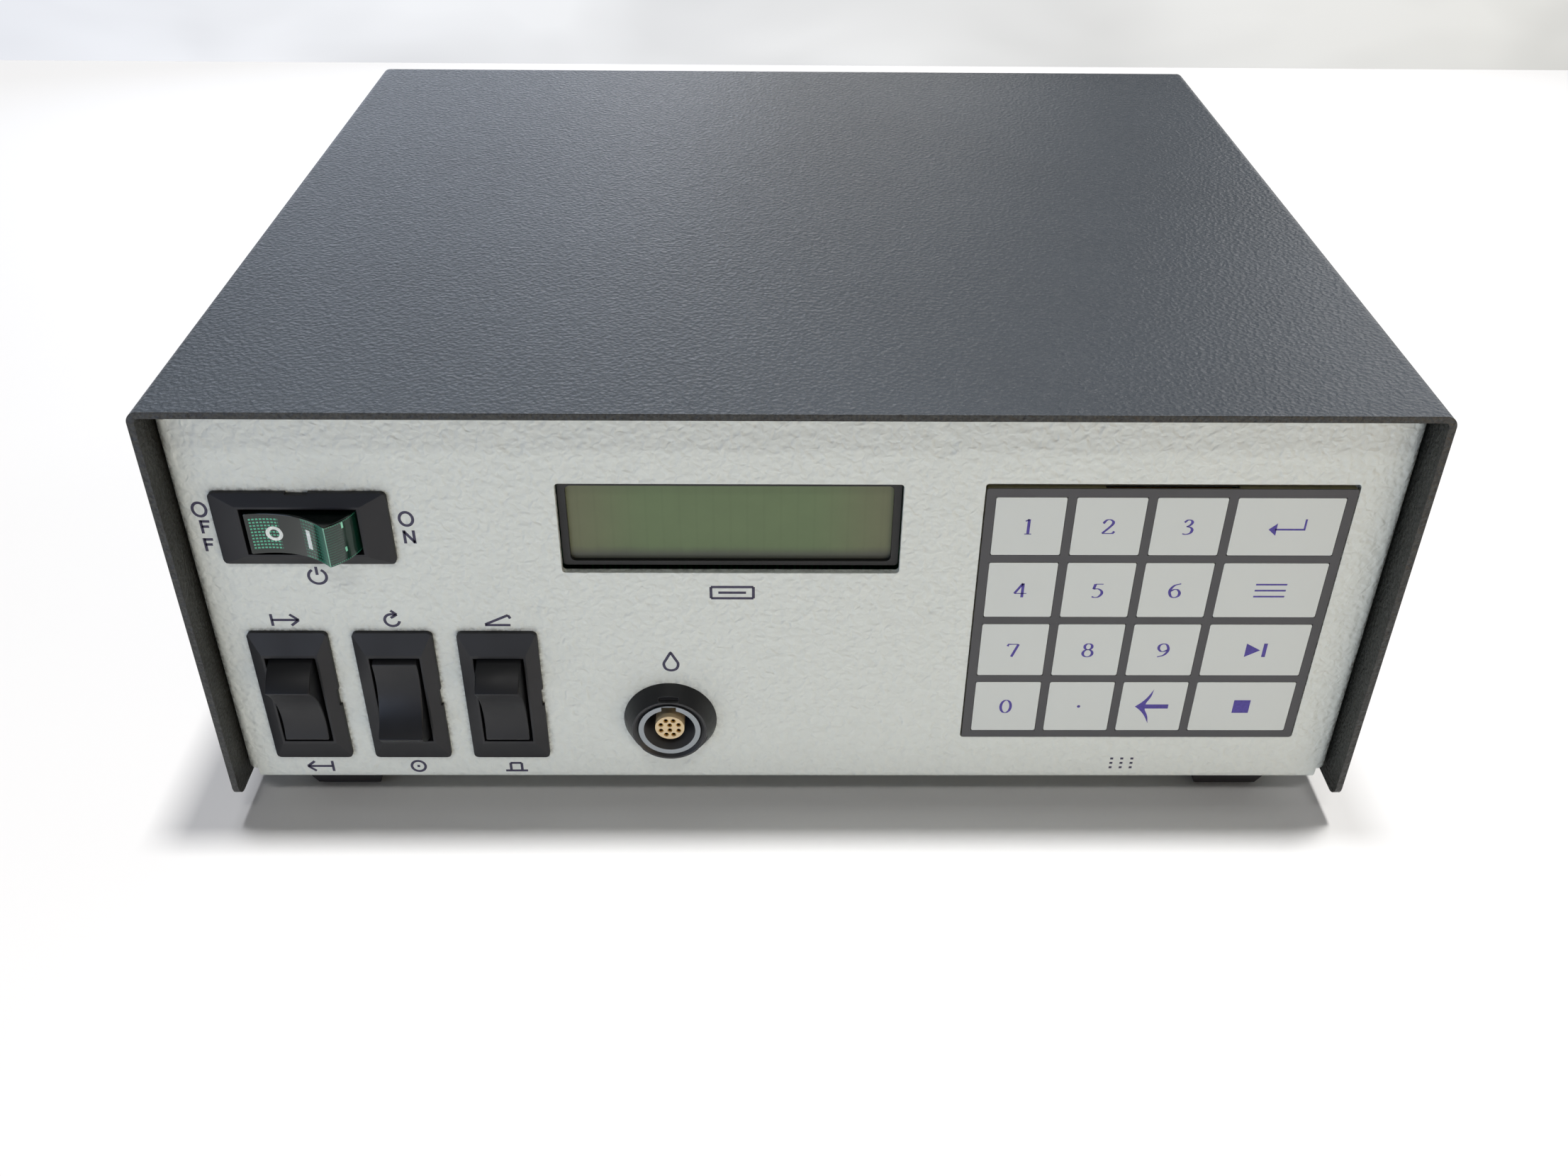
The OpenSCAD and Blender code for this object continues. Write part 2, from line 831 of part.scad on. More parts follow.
module power_switch_housing() {
    color("#2f3135")
    at_power_switch()
        difference() {
            switch_housing();
            translate([-lamp_l / 2 - 1, -lamp_d / 2 - 0.5, -cavity_depth - lamp_d])
                cube([lamp_l + 2, lamp_d + 1, lamp_d + cut]);
        }
}

module power_switch_blades() {
    color("#c9b27a")
    at_power_switch()
        for (sx = [-1, 1], sy = [-1, 1])
            translate([sx * body_l / 4, sy * body_w / 4, -housing_depth])
                blade_terminal();
}

module power_lamp() {
    color("#d9c8a8")
    at_power_switch()
        translate([-lamp_l / 2, 0, -cavity_depth - lamp_d / 2])
            rotate([0, 90, 0])
                union() {
                    cylinder(d = lamp_d, h = lamp_l - lamp_d / 2);
                    translate([0, 0, lamp_l - lamp_d / 2])
                        sphere(d = lamp_d);
                }
}

module selector_housings() {
    color("#2f3135")
    for (i = [0 : 2])
        at_selector(i)
            switch_housing();
}

module selector_blades() {
    color("#c9b27a")
    for (i = [0 : 2])
        at_selector(i)
            for (s = [-1, 0, 1])
                translate([s * body_l / 3, 0, -housing_depth])
                    blade_terminal();
}

module power_rocker() {
    color("#1f5b48")
    at_power_switch()
        rocker(-rocker_tilt);
}

module jog_rocker() {
    color("#2c2d31")
    at_selector(0)
        rocker(rocker_tilt);
}

module mode_rocker() {
    color("#2c2d31")
    at_selector(1)
        rocker(-rocker_tilt);
}

module trigger_rocker() {
    color("#2c2d31")
    at_selector(2)
        rocker(rocker_tilt);
}

module lcd_frame() {
    depth = -lcd_recess - lcd_board_z;
    color("#37393c")
    on_front(-lcd_x, upper_row_h)
        difference() {
            translate([0, 0, lcd_board_z])
                linear_extrude(depth)
                    rounded_plate(lcd_frame_w, lcd_frame_h, 0.8);
            translate([0, 0, lcd_board_z - cut])
                linear_extrude(depth - lcd_glass_recess + cut)
                    square([lcd_frame_w - 2 * lcd_wall, lcd_frame_h - 2 * lcd_wall], center = true);
            translate([0, 0, -lcd_recess - lcd_glass_recess - cut])
                linear_extrude(lcd_glass_recess + 2 * cut)
                    rounded_plate(lcd_view_w, lcd_view_h, 1.2);
        }
}

module lcd_glass() {
    color("#66755a")
    on_front(-lcd_x, upper_row_h)
        translate([0, 0, lcd_glass_z - lcd_glass_t / 2])
            cube([lcd_frame_w - 2 * lcd_wall, lcd_frame_h - 2 * lcd_wall, lcd_glass_t], center = true);
}

module lcd_backlight() {
    depth = lcd_glass_z - lcd_glass_t - lcd_board_z;
    color("#e9ead9")
    on_front(-lcd_x, upper_row_h)
        translate([0, 0, lcd_board_z + depth / 2])
            cube([lcd_frame_w - 2 * lcd_wall, lcd_frame_h - 2 * lcd_wall, depth], center = true);
}

// Circuit board of the display with its driver blobs and its row of header pins
module lcd_board() {
    blob_r = 5;
    blob_drop = 2;
    header_pins = 16;
    pin_pitch = 2.54;
    pin_w = 0.64;
    pin_l = 6;
    header_drop = 3;
    header_t = 2.5;
    color("#2c5d3a")
    on_front(-lcd_x, upper_row_h)
        difference() {
            union() {
                translate([0, 0, lcd_board_z - pcb_t])
                    linear_extrude(pcb_t)
                        rounded_plate(lcd_board_w, lcd_board_h, 1.5);
                for (s = [-1, 1])
                    translate([s * lcd_hole_w / 4, -blob_drop, lcd_board_z - pcb_t])
                        intersection() {
                            translate([0, 0, blob_r])
                                sphere(r = 1.7 * blob_r);
                            translate([0, 0, -blob_r])
                                cylinder(r = 1.5 * blob_r, h = blob_r + 0.2);
                        }
                translate([0, lcd_hole_h / 2 - header_drop, lcd_board_z - pcb_t - header_t / 2])
                    cube([header_pins * pin_pitch, pin_pitch, header_t + 0.1], center = true);
                for (i = [0 : header_pins - 1])
                    translate([(i - (header_pins - 1) / 2) * pin_pitch,
                        lcd_hole_h / 2 - header_drop, lcd_board_z - pcb_t - header_t - pin_l / 2])
                        cube([pin_w, pin_w, pin_l + 0.2], center = true);
            }
            at_corners(lcd_hole_w, lcd_hole_h)
                translate([0, 0, lcd_board_z - pcb_t - cut])
                    cylinder(d = m3 + hole_clear, h = pcb_t + 2 * cut);
        }
}

// Standoffs welded to the back of the panel, each with a threaded end for the board
module lcd_standoffs() {
    color("#b9bcc0")
    on_front(-lcd_x, upper_row_h)
        at_corners(lcd_hole_w, lcd_hole_h)
            union() {
                translate([0, 0, lcd_board_z])
                    cylinder(d = 2 * m3, h = lcd_standoff_l);
                translate([0, 0, lcd_board_z - pcb_t - m3_nut_h - 1])
                    cylinder(d = m3, h = pcb_t + m3_nut_h + 2);
            }
}

// Plate glued behind the panel that the keypad lies on, with a slot for the tail
module keypad_backer() {
    color("#8d9092")
    on_front(keypad_x, keypad_h)
        difference() {
            translate([0, 0, -sheet_t - backer_t])
                linear_extrude(backer_t)
                    rounded_plate(keypad_w + 2 * backer_margin, keypad_tall + 2 * backer_margin, 3);
            translate([-tail_w / 2 - 1, keypad_tall / 2 - key_border - tail_t, -sheet_t - backer_t - cut])
                cube([tail_w + 2, key_border, backer_t + 2 * cut]);
        }
}

// Thick laminate under the film, with a pocket and a low snap dome under each key
module keypad_circuit() {
    front_z = keypad_proud - film_t;
    notch = 0.8;
    notch_roof = 0.2;
    dome_d = 10;
    dome_h = 0.2;
    color("#3b3a2c")
    on_front(keypad_x, keypad_h)
        union() {
            difference() {
                translate([0, 0, -sheet_t])
                    linear_extrude(sheet_t + front_z)
                        rounded_plate(keypad_w, keypad_tall, 0.5);
                for (i = [0 : 3], j = [0 : key_rows - 1])
                    translate(concat(key_centre(i, j), keypad_proud - key_pocket_t / 2))
                        cube([key_cols[i], key_h, key_pocket_t], center = true);
                translate([-tail_w / 2 - 1, keypad_tall / 2 - notch, -sheet_t - cut])
                    cube([tail_w + 2, 2 * notch, sheet_t + front_z - notch_roof + cut]);
            }
            for (i = [0 : 3], j = [0 : key_rows - 1])
                translate(concat(key_centre(i, j), keypad_proud - key_pocket_t))
                    cylinder(d1 = dome_d, d2 = 0.7 * dome_d, h = dome_h);
        }
}

module keypad_film() {
    color("#4d4e50")
    on_front(keypad_x, keypad_h)
        difference() {
            translate([0, 0, keypad_proud - film_t])
                linear_extrude(film_t)
                    rounded_plate(keypad_w, keypad_tall, 0.5);
            for (i = [0 : 3], j = [0 : key_rows - 1])
                translate(concat(key_centre(i, j), keypad_proud))
                    cube([key_cols[i], key_h, 3 * film_t], center = true);
        }
}

// Flexible tail of the keypad: back through the slot, down and back again to the board
module keypad_tail() {
    bend = 4;
    first = 10;
    top = keypad_h + keypad_tall / 2 - key_border / 2 - tail_t / 2;
    low = floor_z - foot_h + standoff_h + pcb_t + 3;
    reach = chassis_d / 2 - board_d / 2 + board_y - sheet_t - first + tail_t;
    color("#b98a3c")
    translate([keypad_x - tail_w / 2, -chassis_d / 2 + sheet_t, foot_h])
        rotate([90, 0, 90])
            linear_extrude(tail_w)
                union() {
                    translate([0, top - tail_t])
                        square([first, tail_t]);
                    translate([first, top - bend])
                        quarter_bend(bend, tail_t, 0);
                    translate([first + bend - tail_t, low + bend])
                        square([tail_t, top - low - 2 * bend]);
                    translate([first + 2 * bend - tail_t, low + bend])
                        quarter_bend(bend, tail_t, 180);
                    translate([first + 2 * bend - tail_t, low])
                        square([reach - 2 * bend, tail_t]);
                }
}

// Quarter of a flat ring about the origin, turned by the given angle
module quarter_bend(r, t, angle) {
    rotate(angle)
        intersection() {
            difference() {
                circle(r);
                circle(r - t);
            }
            square(r);
        }
}

// Key in column i and row j: a stiffened patch of film that a press pushes in
module key(i, j) {
    color("#c3c6c1")
    on_front(keypad_x, keypad_h)
        translate(concat(key_centre(i, j), keypad_proud - key_plate_t))
            linear_extrude(key_plate_t)
                rounded_plate(key_cols[i] - 2 * key_gap, key_h - 2 * key_gap, 0.4);
}

// Shell of the round socket, with a keyway at the top of its open end
module socket_shell() {
    front = nut_h - 0.25;
    lip = 0.3;
    color("#9aa0a4")
    on_front(-socket_x, socket_h)
        difference() {
            translate([0, 0, -socket_depth])
                cylinder(d = socket_d, h = socket_depth + front);
            translate([0, 0, front - socket_cavity_l])
                cylinder(d = socket_bore, h = socket_cavity_l + cut);
            translate([0, 0, -socket_depth - cut])
                cylinder(d = insert_d, h = socket_depth + front);
            translate([-keyway_w / 2, 0, front - socket_cavity_l / 2])
                cube([keyway_w, socket_d / 2 - lip, socket_cavity_l]);
        }
}

// Conical nut with three shallow slots for a spanner in the rim of its face
module socket_front_nut() {
    slot_w = 4.6;
    slot_t = 1.3;
    color("#212225")
    on_front(-socket_x, socket_h)
        difference() {
            cylinder(d1 = nut_base_d, d2 = nut_face_d, h = nut_h);
            translate([0, 0, -cut])
                cylinder(d = socket_d + 2 * thread_clear, h = nut_h + 2 * cut);
            translate([0, 0, nut_h - 0.8])
                cylinder(d1 = socket_d, d2 = nut_face_d - 0.8, h = 0.81);
            for (a = [90, 210, 330])
                rotate([0, 0, a])
                    translate([nut_face_d / 2 - 0.2, -slot_w / 2, nut_h - slot_t])
                        cube([nut_base_d, slot_w, slot_t + cut]);
        }
}

module socket_rear_nut() {
    color("#b9bcc0")
    on_front(-socket_x, socket_h)
        translate([0, 0, -sheet_t - 2.5])
            hex_nut(socket_nut_af, 2.5, socket_d + 2 * thread_clear);
}

// Places of the contacts in the insert
function contact_places() = concat(
    [for (i = [0 : ring_contacts - 1]) contact_ring_r * [
        cos((i + 0.5) * 360 / ring_contacts),
        sin((i + 0.5) * 360 / ring_contacts)]],
    [[0, contact_mid_r], [0, -contact_mid_r]]);

module socket_insert() {
    front = nut_h - 0.25 - insert_recess;
    color("#cdb48b")
    on_front(-socket_x, socket_h)
        difference() {
            translate([0, 0, -socket_depth])
                cylinder(d = insert_d, h = socket_depth + front);
            for (p = contact_places())
                translate([p[0], p[1], -socket_depth - cut])
                    cylinder(d = contact_d, h = socket_depth + front + 2 * cut, $fn = 24);
        }
}

// Tubular contacts, open at the front, with solder ends behind the insert
module socket_contacts() {
    front = nut_h - 0.25 - insert_recess - 0.3;
    color("#caa53d")
    on_front(-socket_x, socket_h)
        for (p = contact_places())
            translate([p[0], p[1], -socket_depth - 3])
                difference() {
                    cylinder(d = contact_d, h = socket_depth + 3 + front, $fn = 24);
                    translate([0, 0, socket_depth + 3 + front - 5])
                        cylinder(d = contact_bore, h = 5 + cut, $fn = 24);
                }
}

// Outline of the mains inlet's cavity, with its two upper corners cut off
module inlet_outline() {
    corner = 4.5;
    w = inlet_cavity_w / 2;
    h = inlet_cavity_h / 2;
    polygon([
        [-w, -h],
        [w, -h],
        [w, h - corner],
        [w - corner, h],
        [corner - w, h],
        [-w, h - corner]]);
}

// Centres of the three pins of the mains inlet
function inlet_pin_places() = [
    [-inlet_pin_x, inlet_cavity_y - 1.5],
    [inlet_pin_x, inlet_cavity_y - 1.5],
    [0, inlet_cavity_y + 2.5]];

// Flat pin of the mains inlet, with a push-on tab behind the body
module inlet_pin() {
    pin_w = 2;
    pin_h = 4;
    pin_recess = 1.5;
    translate([-pin_w / 2, -pin_h / 2, -inlet_depth])
        cube([pin_w, pin_h, inlet_depth - pin_recess]);
    translate([-blade_t / 2, -pin_h / 2, -inlet_depth - blade_l])
        cube([blade_t, pin_h, blade_l]);
}

module inlet_body() {
    color("#1f2022")
    on_rear(-inlet_x, inlet_h)
        difference() {
            union() {
                linear_extrude(inlet_flange_t)
                    rounded_plate(inlet_flange_w, inlet_flange_h, 4);
                translate([-inlet_body_w / 2, -inlet_body_h / 2, -inlet_depth])
                    cube([inlet_body_w, inlet_body_h, inlet_depth + 1]);
            }
            translate([0, inlet_cavity_y, inlet_flange_t - inlet_cavity_d])
                linear_extrude(inlet_cavity_d + cut)
                    inlet_outline();
            translate([0, drawer_y, inlet_flange_t - drawer_l / 2])
                cube([drawer_w + 2 * drawer_clear, drawer_h + 2 * drawer_clear, drawer_l + 0.2],
                    center = true);
            translate([0, drawer_y, inlet_flange_t])
                cube([drawer_w + 2 * drawer_clear, drawer_h + 2 * drawer_clear, 2 * cut],
                    center = true);
            for (p = inlet_pin_places())
                translate([p[0], p[1], 0])
                    inlet_pin();
            for (s = [-1, 1])
                translate([s * inlet_screw_x(), 0, -cut])
                    union() {
                        cylinder(d = m3 + hole_clear, h = inlet_flange_t + 2 * cut);
                        translate([0, 0, cut + inlet_flange_t - (m3_head_d - m3) / 2])
                            cylinder(d1 = m3, d2 = m3_head_d + cut, h = (m3_head_d - m3 + cut) / 2);
                    }
        }
}

module inlet_pins() {
    color("#c9ccd0")
    on_rear(-inlet_x, inlet_h)
        for (p = inlet_pin_places())
            translate([p[0], p[1], 0])
                inlet_pin();
}

// Drawer for the mains fuse: a tray with the fuse's tube in it and a lip to pull it by
module fuse_drawer() {
    wall = 1.3;
    fuse_d = 5;
    fuse_l = 15;
    color("#232427")
    on_rear(-inlet_x, inlet_h)
        translate([0, drawer_y, inlet_flange_t - drawer_l])
            union() {
                difference() {
                    translate([-drawer_w / 2, -drawer_h / 2, 0])
                        cube([drawer_w, drawer_h, drawer_l]);
                    translate([wall - drawer_w / 2, wall - drawer_h / 2, wall])
                        cube([drawer_w - 2 * wall, drawer_h, fuse_l + 0.2]);
                    translate([-4, -drawer_h / 2 - cut, drawer_l - 1])
                        cube([8, 2 + cut, 1 + cut]);
                }
                translate([0, wall - drawer_h / 2 + fuse_d / 2 - 0.1, wall])
                    cylinder(d = fuse_d, h = fuse_l + 0.2);
            }
}

module jack_body() {
    box_w = 16;
    box_l = 23;
    color("#26272a")
    on_rear(jack_x, jack_h)
        difference() {
            union() {
                translate([0, 0, -sheet_t - 1])
                    cylinder(d = jack_bushing_d, h = sheet_t + 1 + jack_bushing_l);
                translate([-box_w / 2, -box_w / 2, -sheet_t - box_l])
                    cube([box_w, box_w, box_l]);
            }
            translate([0, 0, -sheet_t - box_l + 2])
                cylinder(d = jack_bore, h = box_l + sheet_t + jack_bushing_l);
        }
}

module jack_nut() {
    across_flats = 14;
    color("#b9bcc0")
    on_rear(jack_x, jack_h)
        hex_nut(across_flats, 2.5, jack_bushing_d + 2 * thread_clear);
}

// Puts its children on top of the main board, at the board's middle
module on_board() {
    translate([board_x, board_y, board_z + pcb_t])
        children();
}

module main_board() {
    color("#2c6a42")
    on_board()
        difference() {
            translate([0, 0, -pcb_t])
                linear_extrude(pcb_t)
                    rounded_plate(board_w, board_d, 2);
            at_corners(board_w - 2 * board_hole_inset, board_d - 2 * board_hole_inset)
                translate([0, 0, -pcb_t - cut])
                    cylinder(d = m3 + hole_clear, h = pcb_t + 2 * cut);
        }
}

module board_standoffs() {
    color("#c9b27a")
    translate([board_x, board_y, floor_z])
        at_corners(board_w - 2 * board_hole_inset, board_d - 2 * board_hole_inset)
            hex_nut(m3_nut_af, standoff_h, m3 + 2 * thread_clear);
}

// Screws and nuts of the boards, the transformer's strap and the mains inlet
module small_fasteners() {
    color("#b9bcc0")
    union() {
        on_board()
            at_corners(board_w - 2 * board_hole_inset, board_d - 2 * board_hole_inset)
                pan_screw(m3, standoff_h - 1 + pcb_t, 5.6, 1.8);
        at_strap_screws(floor_z + strap_t)
            pan_screw(screw_d, strap_t + sheet_t, screw_head_d, screw_head_h);
        on_front(-lcd_x, upper_row_h)
            at_corners(lcd_hole_w, lcd_hole_h)
                translate([0, 0, lcd_board_z - pcb_t - m3_nut_h])
                    hex_nut(m3_nut_af, m3_nut_h, m3 + 2 * thread_clear);
        on_rear(-inlet_x, inlet_h)
            for (s = [-1, 1])
                translate([s * inlet_screw_x(), 0, 0])
                    union() {
                        translate([0, 0, inlet_flange_t])
                            flat_screw(m3, inlet_flange_t + sheet_t + m3_nut_h + 1, m3_head_d);
                        translate([0, 0, -sheet_t - m3_nut_h])
                            hex_nut(m3_nut_af, m3_nut_h, m3 + 2 * thread_clear);
                    }
    }
}

// Chip in a dual in-line package with its legs standing on the board
module dip_chip(l, w) {
    leg = 0.8;
    body_t = 3.2;
    union() {
        translate([-l / 2, leg - w / 2, leg])
            cube([l, w - 2 * leg, body_t]);
        for (s = [-1, 1])
            translate([leg - l / 2, s * (w - leg) / 2 - leg / 2, 0])
                cube([l - 2 * leg, leg, leg + body_t / 2]);
    }
}

// Capacitors, chips, relay and connectors of the main board
module board_parts() {
    cap_d = 18;
    cap_h = 30;
    cap_inset = 20;
    chip_l = 26;
    chip_w = 9;
    chip_pitch = 36;
    chip_inset = 52;
    processor_l = 52;
    processor_w = 16.5;
    processor_inset = 74;
    relay = [20, 15, 16];
    relay_y = board_d / 2 - cap_inset - cap_d / 2 - relay[1] - 2;
    header = [tail_w + 2, 6, 6];
    row_shift = 10;
    color("#3a3c40")
    on_board()
        union() {
            for (i = [0 : 1])
                translate([cap_inset + i * (cap_d + 4) - board_w / 2, board_d / 2 - cap_inset, 0])
                    cylinder(d = cap_d, h = cap_h);
            for (i = [-1 : 1])
                translate([i * chip_pitch - row_shift, chip_inset - board_d / 2, 0])
                    dip_chip(chip_l, chip_w);
            translate([-processor_l / 6, processor_inset - board_d / 2, 0])
                dip_chip(processor_l, processor_w);
            translate([cap_inset - board_w / 2, relay_y, 0])
                cube(relay);
            translate([keypad_x - board_x - header[0] / 2, -board_d / 2, 0])
                cube(header);
            for (i = [-1 : 1])
                translate([sink_x() + i * transistor_pitch - transistor[0] / 2,
                    sink_y() - transistor[1], 0])
                    cube(transistor);
        }
}

// Middle of the heatsink across the board
function sink_x() = board_w / 2 - sink_inset - sink_w / 2;

// Face of the heatsink that the transistors stand against
function sink_y() = board_d / 2 - sink_inset - sink_base_t - sink_fin_l - transistor_pitch;

// Finned heatsink that the motor driver's transistors stand against
module heatsink() {
    fin_t = 1.6;
    fins = 8;
    color("#9a9da1")
    on_board()
        translate([sink_x() - sink_w / 2, sink_y(), 0])
            linear_extrude(sink_h)
                union() {
                    square([sink_w, sink_base_t]);
                    for (i = [0 : fins - 1])
                        translate([i * (sink_w - fin_t) / (fins - 1), sink_base_t - 0.2])
                            square([fin_t, sink_fin_l]);
                }
}

// Laminated core with two windows for the coil
module transformer_core() {
    color("#6b6e72")
    translate([core_x, core_y, floor_z])
        rotate([90, 0, 0])
            linear_extrude(core_stack, center = true)
                difference() {
                    translate([-core_w / 2, 0])
                        square([core_w, core_h]);
                    for (s = [-1, 1])
                        translate([s * (core_leg + core_window_w) / 2, core_h / 2])
                            square([core_window_w, core_window_h], center = true);
                }
}

// Coil round the middle leg, bulging out in front of the core and behind it
module transformer_coil() {
    clear = 0.4;
    side = core_window_w - clear;
    color("#b9a04a")
    translate([core_x, core_y, floor_z + core_h / 2 - core_window_h / 2 + clear])
        linear_extrude(core_window_h - 2 * clear)
            difference() {
                rounded_plate(core_leg + 2 * side, core_stack + 2 * side, 5);
                square([core_leg, core_stack], center = true);
            }
}

// Strap over the core with two feet on the floor of the chassis
module transformer_strap() {
    span = core_w + 2 * strap_t;
    color("#8d9092")
    translate([core_x, core_y, floor_z])
        difference() {
            rotate([90, 0, 0])
                linear_extrude(core_stack - 8, center = true)
                    difference() {
                        union() {
                            translate([-span / 2, 0])
                                square([span, core_h + strap_t]);
                            translate([-span / 2 - strap_foot, 0])
                                square([span + 2 * strap_foot, strap_t]);
                        }
                        translate([-core_w / 2, -cut])
                            square([core_w, core_h + cut]);
                    }
            for (s = [-1, 1])
                translate([s * (span + strap_foot) / 2, 0, -cut])
                    cylinder(d = screw_d + hole_clear, h = strap_t + 2 * cut);
        }
}

base();
front_panel();
rear_panel();
cover();
cover_screws();
clinch_nuts();
feet();
foot_screws();
power_switch_housing();
power_switch_blades();
power_lamp();
selector_housings();
selector_blades();
power_rocker();
jog_rocker();
mode_rocker();
trigger_rocker();
lcd_frame();
lcd_glass();
lcd_backlight();
lcd_board();
lcd_standoffs();
keypad_backer();
keypad_circuit();
keypad_film();
keypad_tail();
key(0, 0);  // key_1
key(1, 0);  // key_2
key(2, 0);  // key_3
key(3, 0);  // key_enter
key(0, 1);  // key_4
key(1, 1);  // key_5
key(2, 1);  // key_6
key(3, 1);  // key_program
key(0, 2);  // key_7
key(1, 2);  // key_8
key(2, 2);  // key_9
key(3, 2);  // key_next
key(0, 3);  // key_0
key(1, 3);  // key_dot
key(2, 3);  // key_back
key(3, 3);  // key_stop
socket_shell();
socket_front_nut();
socket_rear_nut();
socket_insert();
socket_contacts();
inlet_body();
inlet_pins();
fuse_drawer();
jack_body();
jack_nut();
main_board();
board_parts();
board_standoffs();
heatsink();
small_fasteners();
transformer_core();
transformer_coil();
transformer_strap();
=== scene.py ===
"""Finish, rockers, legends and stage for the bench controller of a fluid dispenser.

Laid out as an add-on and run as a script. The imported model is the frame: its nodes keep their
shape and get their materials here, and the new pieces are surfaces worked out with numpy.
Lengths are in metres: X runs to the right, Y from front to back and Z up from the bench."""

import json
import math

import bpy
import numpy as np
from bpy.props import FloatProperty, FloatVectorProperty, IntProperty, PointerProperty
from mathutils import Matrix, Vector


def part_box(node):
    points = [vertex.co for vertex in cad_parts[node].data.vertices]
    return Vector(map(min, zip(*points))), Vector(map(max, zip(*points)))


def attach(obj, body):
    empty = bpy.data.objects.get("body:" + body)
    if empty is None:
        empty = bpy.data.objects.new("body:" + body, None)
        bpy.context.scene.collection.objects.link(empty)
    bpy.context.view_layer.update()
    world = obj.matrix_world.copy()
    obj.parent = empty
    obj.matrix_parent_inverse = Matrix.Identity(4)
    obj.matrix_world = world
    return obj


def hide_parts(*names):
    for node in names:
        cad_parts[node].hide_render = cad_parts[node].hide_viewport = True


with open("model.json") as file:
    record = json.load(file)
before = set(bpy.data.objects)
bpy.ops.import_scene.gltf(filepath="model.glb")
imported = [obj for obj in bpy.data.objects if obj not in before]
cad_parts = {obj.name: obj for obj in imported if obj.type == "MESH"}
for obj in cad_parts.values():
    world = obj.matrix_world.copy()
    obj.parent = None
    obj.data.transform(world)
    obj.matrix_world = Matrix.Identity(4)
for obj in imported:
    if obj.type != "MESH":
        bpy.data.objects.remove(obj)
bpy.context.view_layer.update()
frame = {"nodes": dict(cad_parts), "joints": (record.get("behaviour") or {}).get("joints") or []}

bl_info = {
    "name": "Dispenser controller finish",
    "version": (1, 0, 0),
    "blender": (4, 5, 0),
    "location": "3D View > Sidebar > Controller",
    "description": "Materials, rockers, legends and stage of a fluid dispenser's controller",
    "category": "Object",
}

MM = 0.001
PANEL_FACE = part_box("front_panel")[0].y
PANEL_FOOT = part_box("front_panel")[0].z
COVER_LOW, COVER_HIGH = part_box("cover")
JOINTS = {joint["name"]: joint for joint in frame["joints"]}
KEYS = [*map(str, range(10)), "dot", "back", "enter", "program", "next", "stop"]

# Settings that many properties share
LENGTH = {"unit": "LENGTH", "subtype": "DISTANCE"}
COLOUR = {"subtype": "COLOR", "size": 4, "min": 0, "max": 1}

# Inputs of the nodes that most materials use, in the order in which their values are listed
NOISE = ("Vector", "Scale", "Detail", "Roughness")
SPAN = ("Value", "From Min", "From Max", "To Min", "To Max")
WHOLE = (0.0, 1.0)
MIDDLE = (0.3, 0.7)  # the span in which nearly all of a noise pattern lies

SHARP_ANGLE = math.radians(38)
INSIDE_FROM = -5 * MM  # an inner face lies at less than this from the middle, along its normal
CUT_EDGE_FROM = -0.5  # a cut edge's normal has less than this along Y
FAR = 1.0  # stands for no edge in that direction, in metres
PANEL_LINE, KEY_LINE = 0.62 * MM, 0.42 * MM
PEN_THIN, PEN_THICK, DIGIT_SPREAD = 0.2 * MM, 0.62 * MM, 1.5
FOIL_HIGH, FOIL_LOW = 0.05 * MM, -0.1 * MM
STUD_X, STUD_Z = 43.7 * MM, 19.8 * MM  # from the middle of the display
STUD_RADIUS, STUD_REACH = 1.4 * MM, 3.2 * MM
CHARACTER_PITCH = 3.56 * MM
TRACK_PITCH, TRACK_GAP, TRACK_LENGTH = 1.27 * MM, 0.42 * MM, 21.6 * MM
TABLE_REACH, TABLE_EDGE, TABLE_SKIRT = 2.5, 0.006, 0.04
CLOTH_REACH, CLOTH_LOW, CLOTH_FOOT, CLOTH_GAP = 1.6, 0.12, -0.3, 0.045
CLOTH_RISE, CLOTH_FALL = (-0.36, 0.09), (0.09, 0.08)  # middle and softness of each step in X
CLOTH_WAVES = ((0.006, 23, 3), (0.004, 61, -7))  # depth, and radians per metre along X and Z
CLOTH_TINTED = (-0.6, 0.6)  # the span in X over which its tint and its glow change
WORLD_LIGHT, WORLD_SEEN = 0.04, 0.8
CAMERA_PLACE = (-0.005606, -0.362939, 0.245635)
CAMERA_TURN = (54.50475, -0.50136, -0.50764)
CAMERA_SENSOR, CAMERA_NEAR = 36, 0.02


def linear_rgb(value):
    """An sRGB hex colour as linear red, green and blue with alpha 1"""
    srgb = np.array([int(value[i:i + 2], 16) for i in (1, 3, 5)]) / 255
    linear = np.where(srgb <= 0.04045, srgb / 12.92, ((srgb + 0.055) / 1.055) ** 2.4)
    return (*linear.tolist(), 1.0)


class CaseFinish(bpy.types.PropertyGroup):
    """Paint of the cover and the panels"""

    cover_colour: FloatVectorProperty(
        name="Cover colour", description="Slate grey of the cover's powder coat",
        default=linear_rgb("#40464d"), **COLOUR)
    cover_grain: FloatProperty(
        name="Cover grain", description="Distance between the bumps of the cover's coat",
        default=1.0 * MM, **LENGTH)
    panel_colour: FloatVectorProperty(
        name="Panel colour", description="Light grey of the panels' enamel",
        default=linear_rgb("#d4dad5"), **COLOUR)
    panel_grain: FloatProperty(
        name="Panel grain", description="Distance between the pebbles of the panels' enamel",
        default=2.0 * MM, **LENGTH)
    edge_radius: FloatProperty(
        name="Edge radius", description="Radius of the paint's build-up round a sheet's edges",
        default=0.25 * MM, **LENGTH)


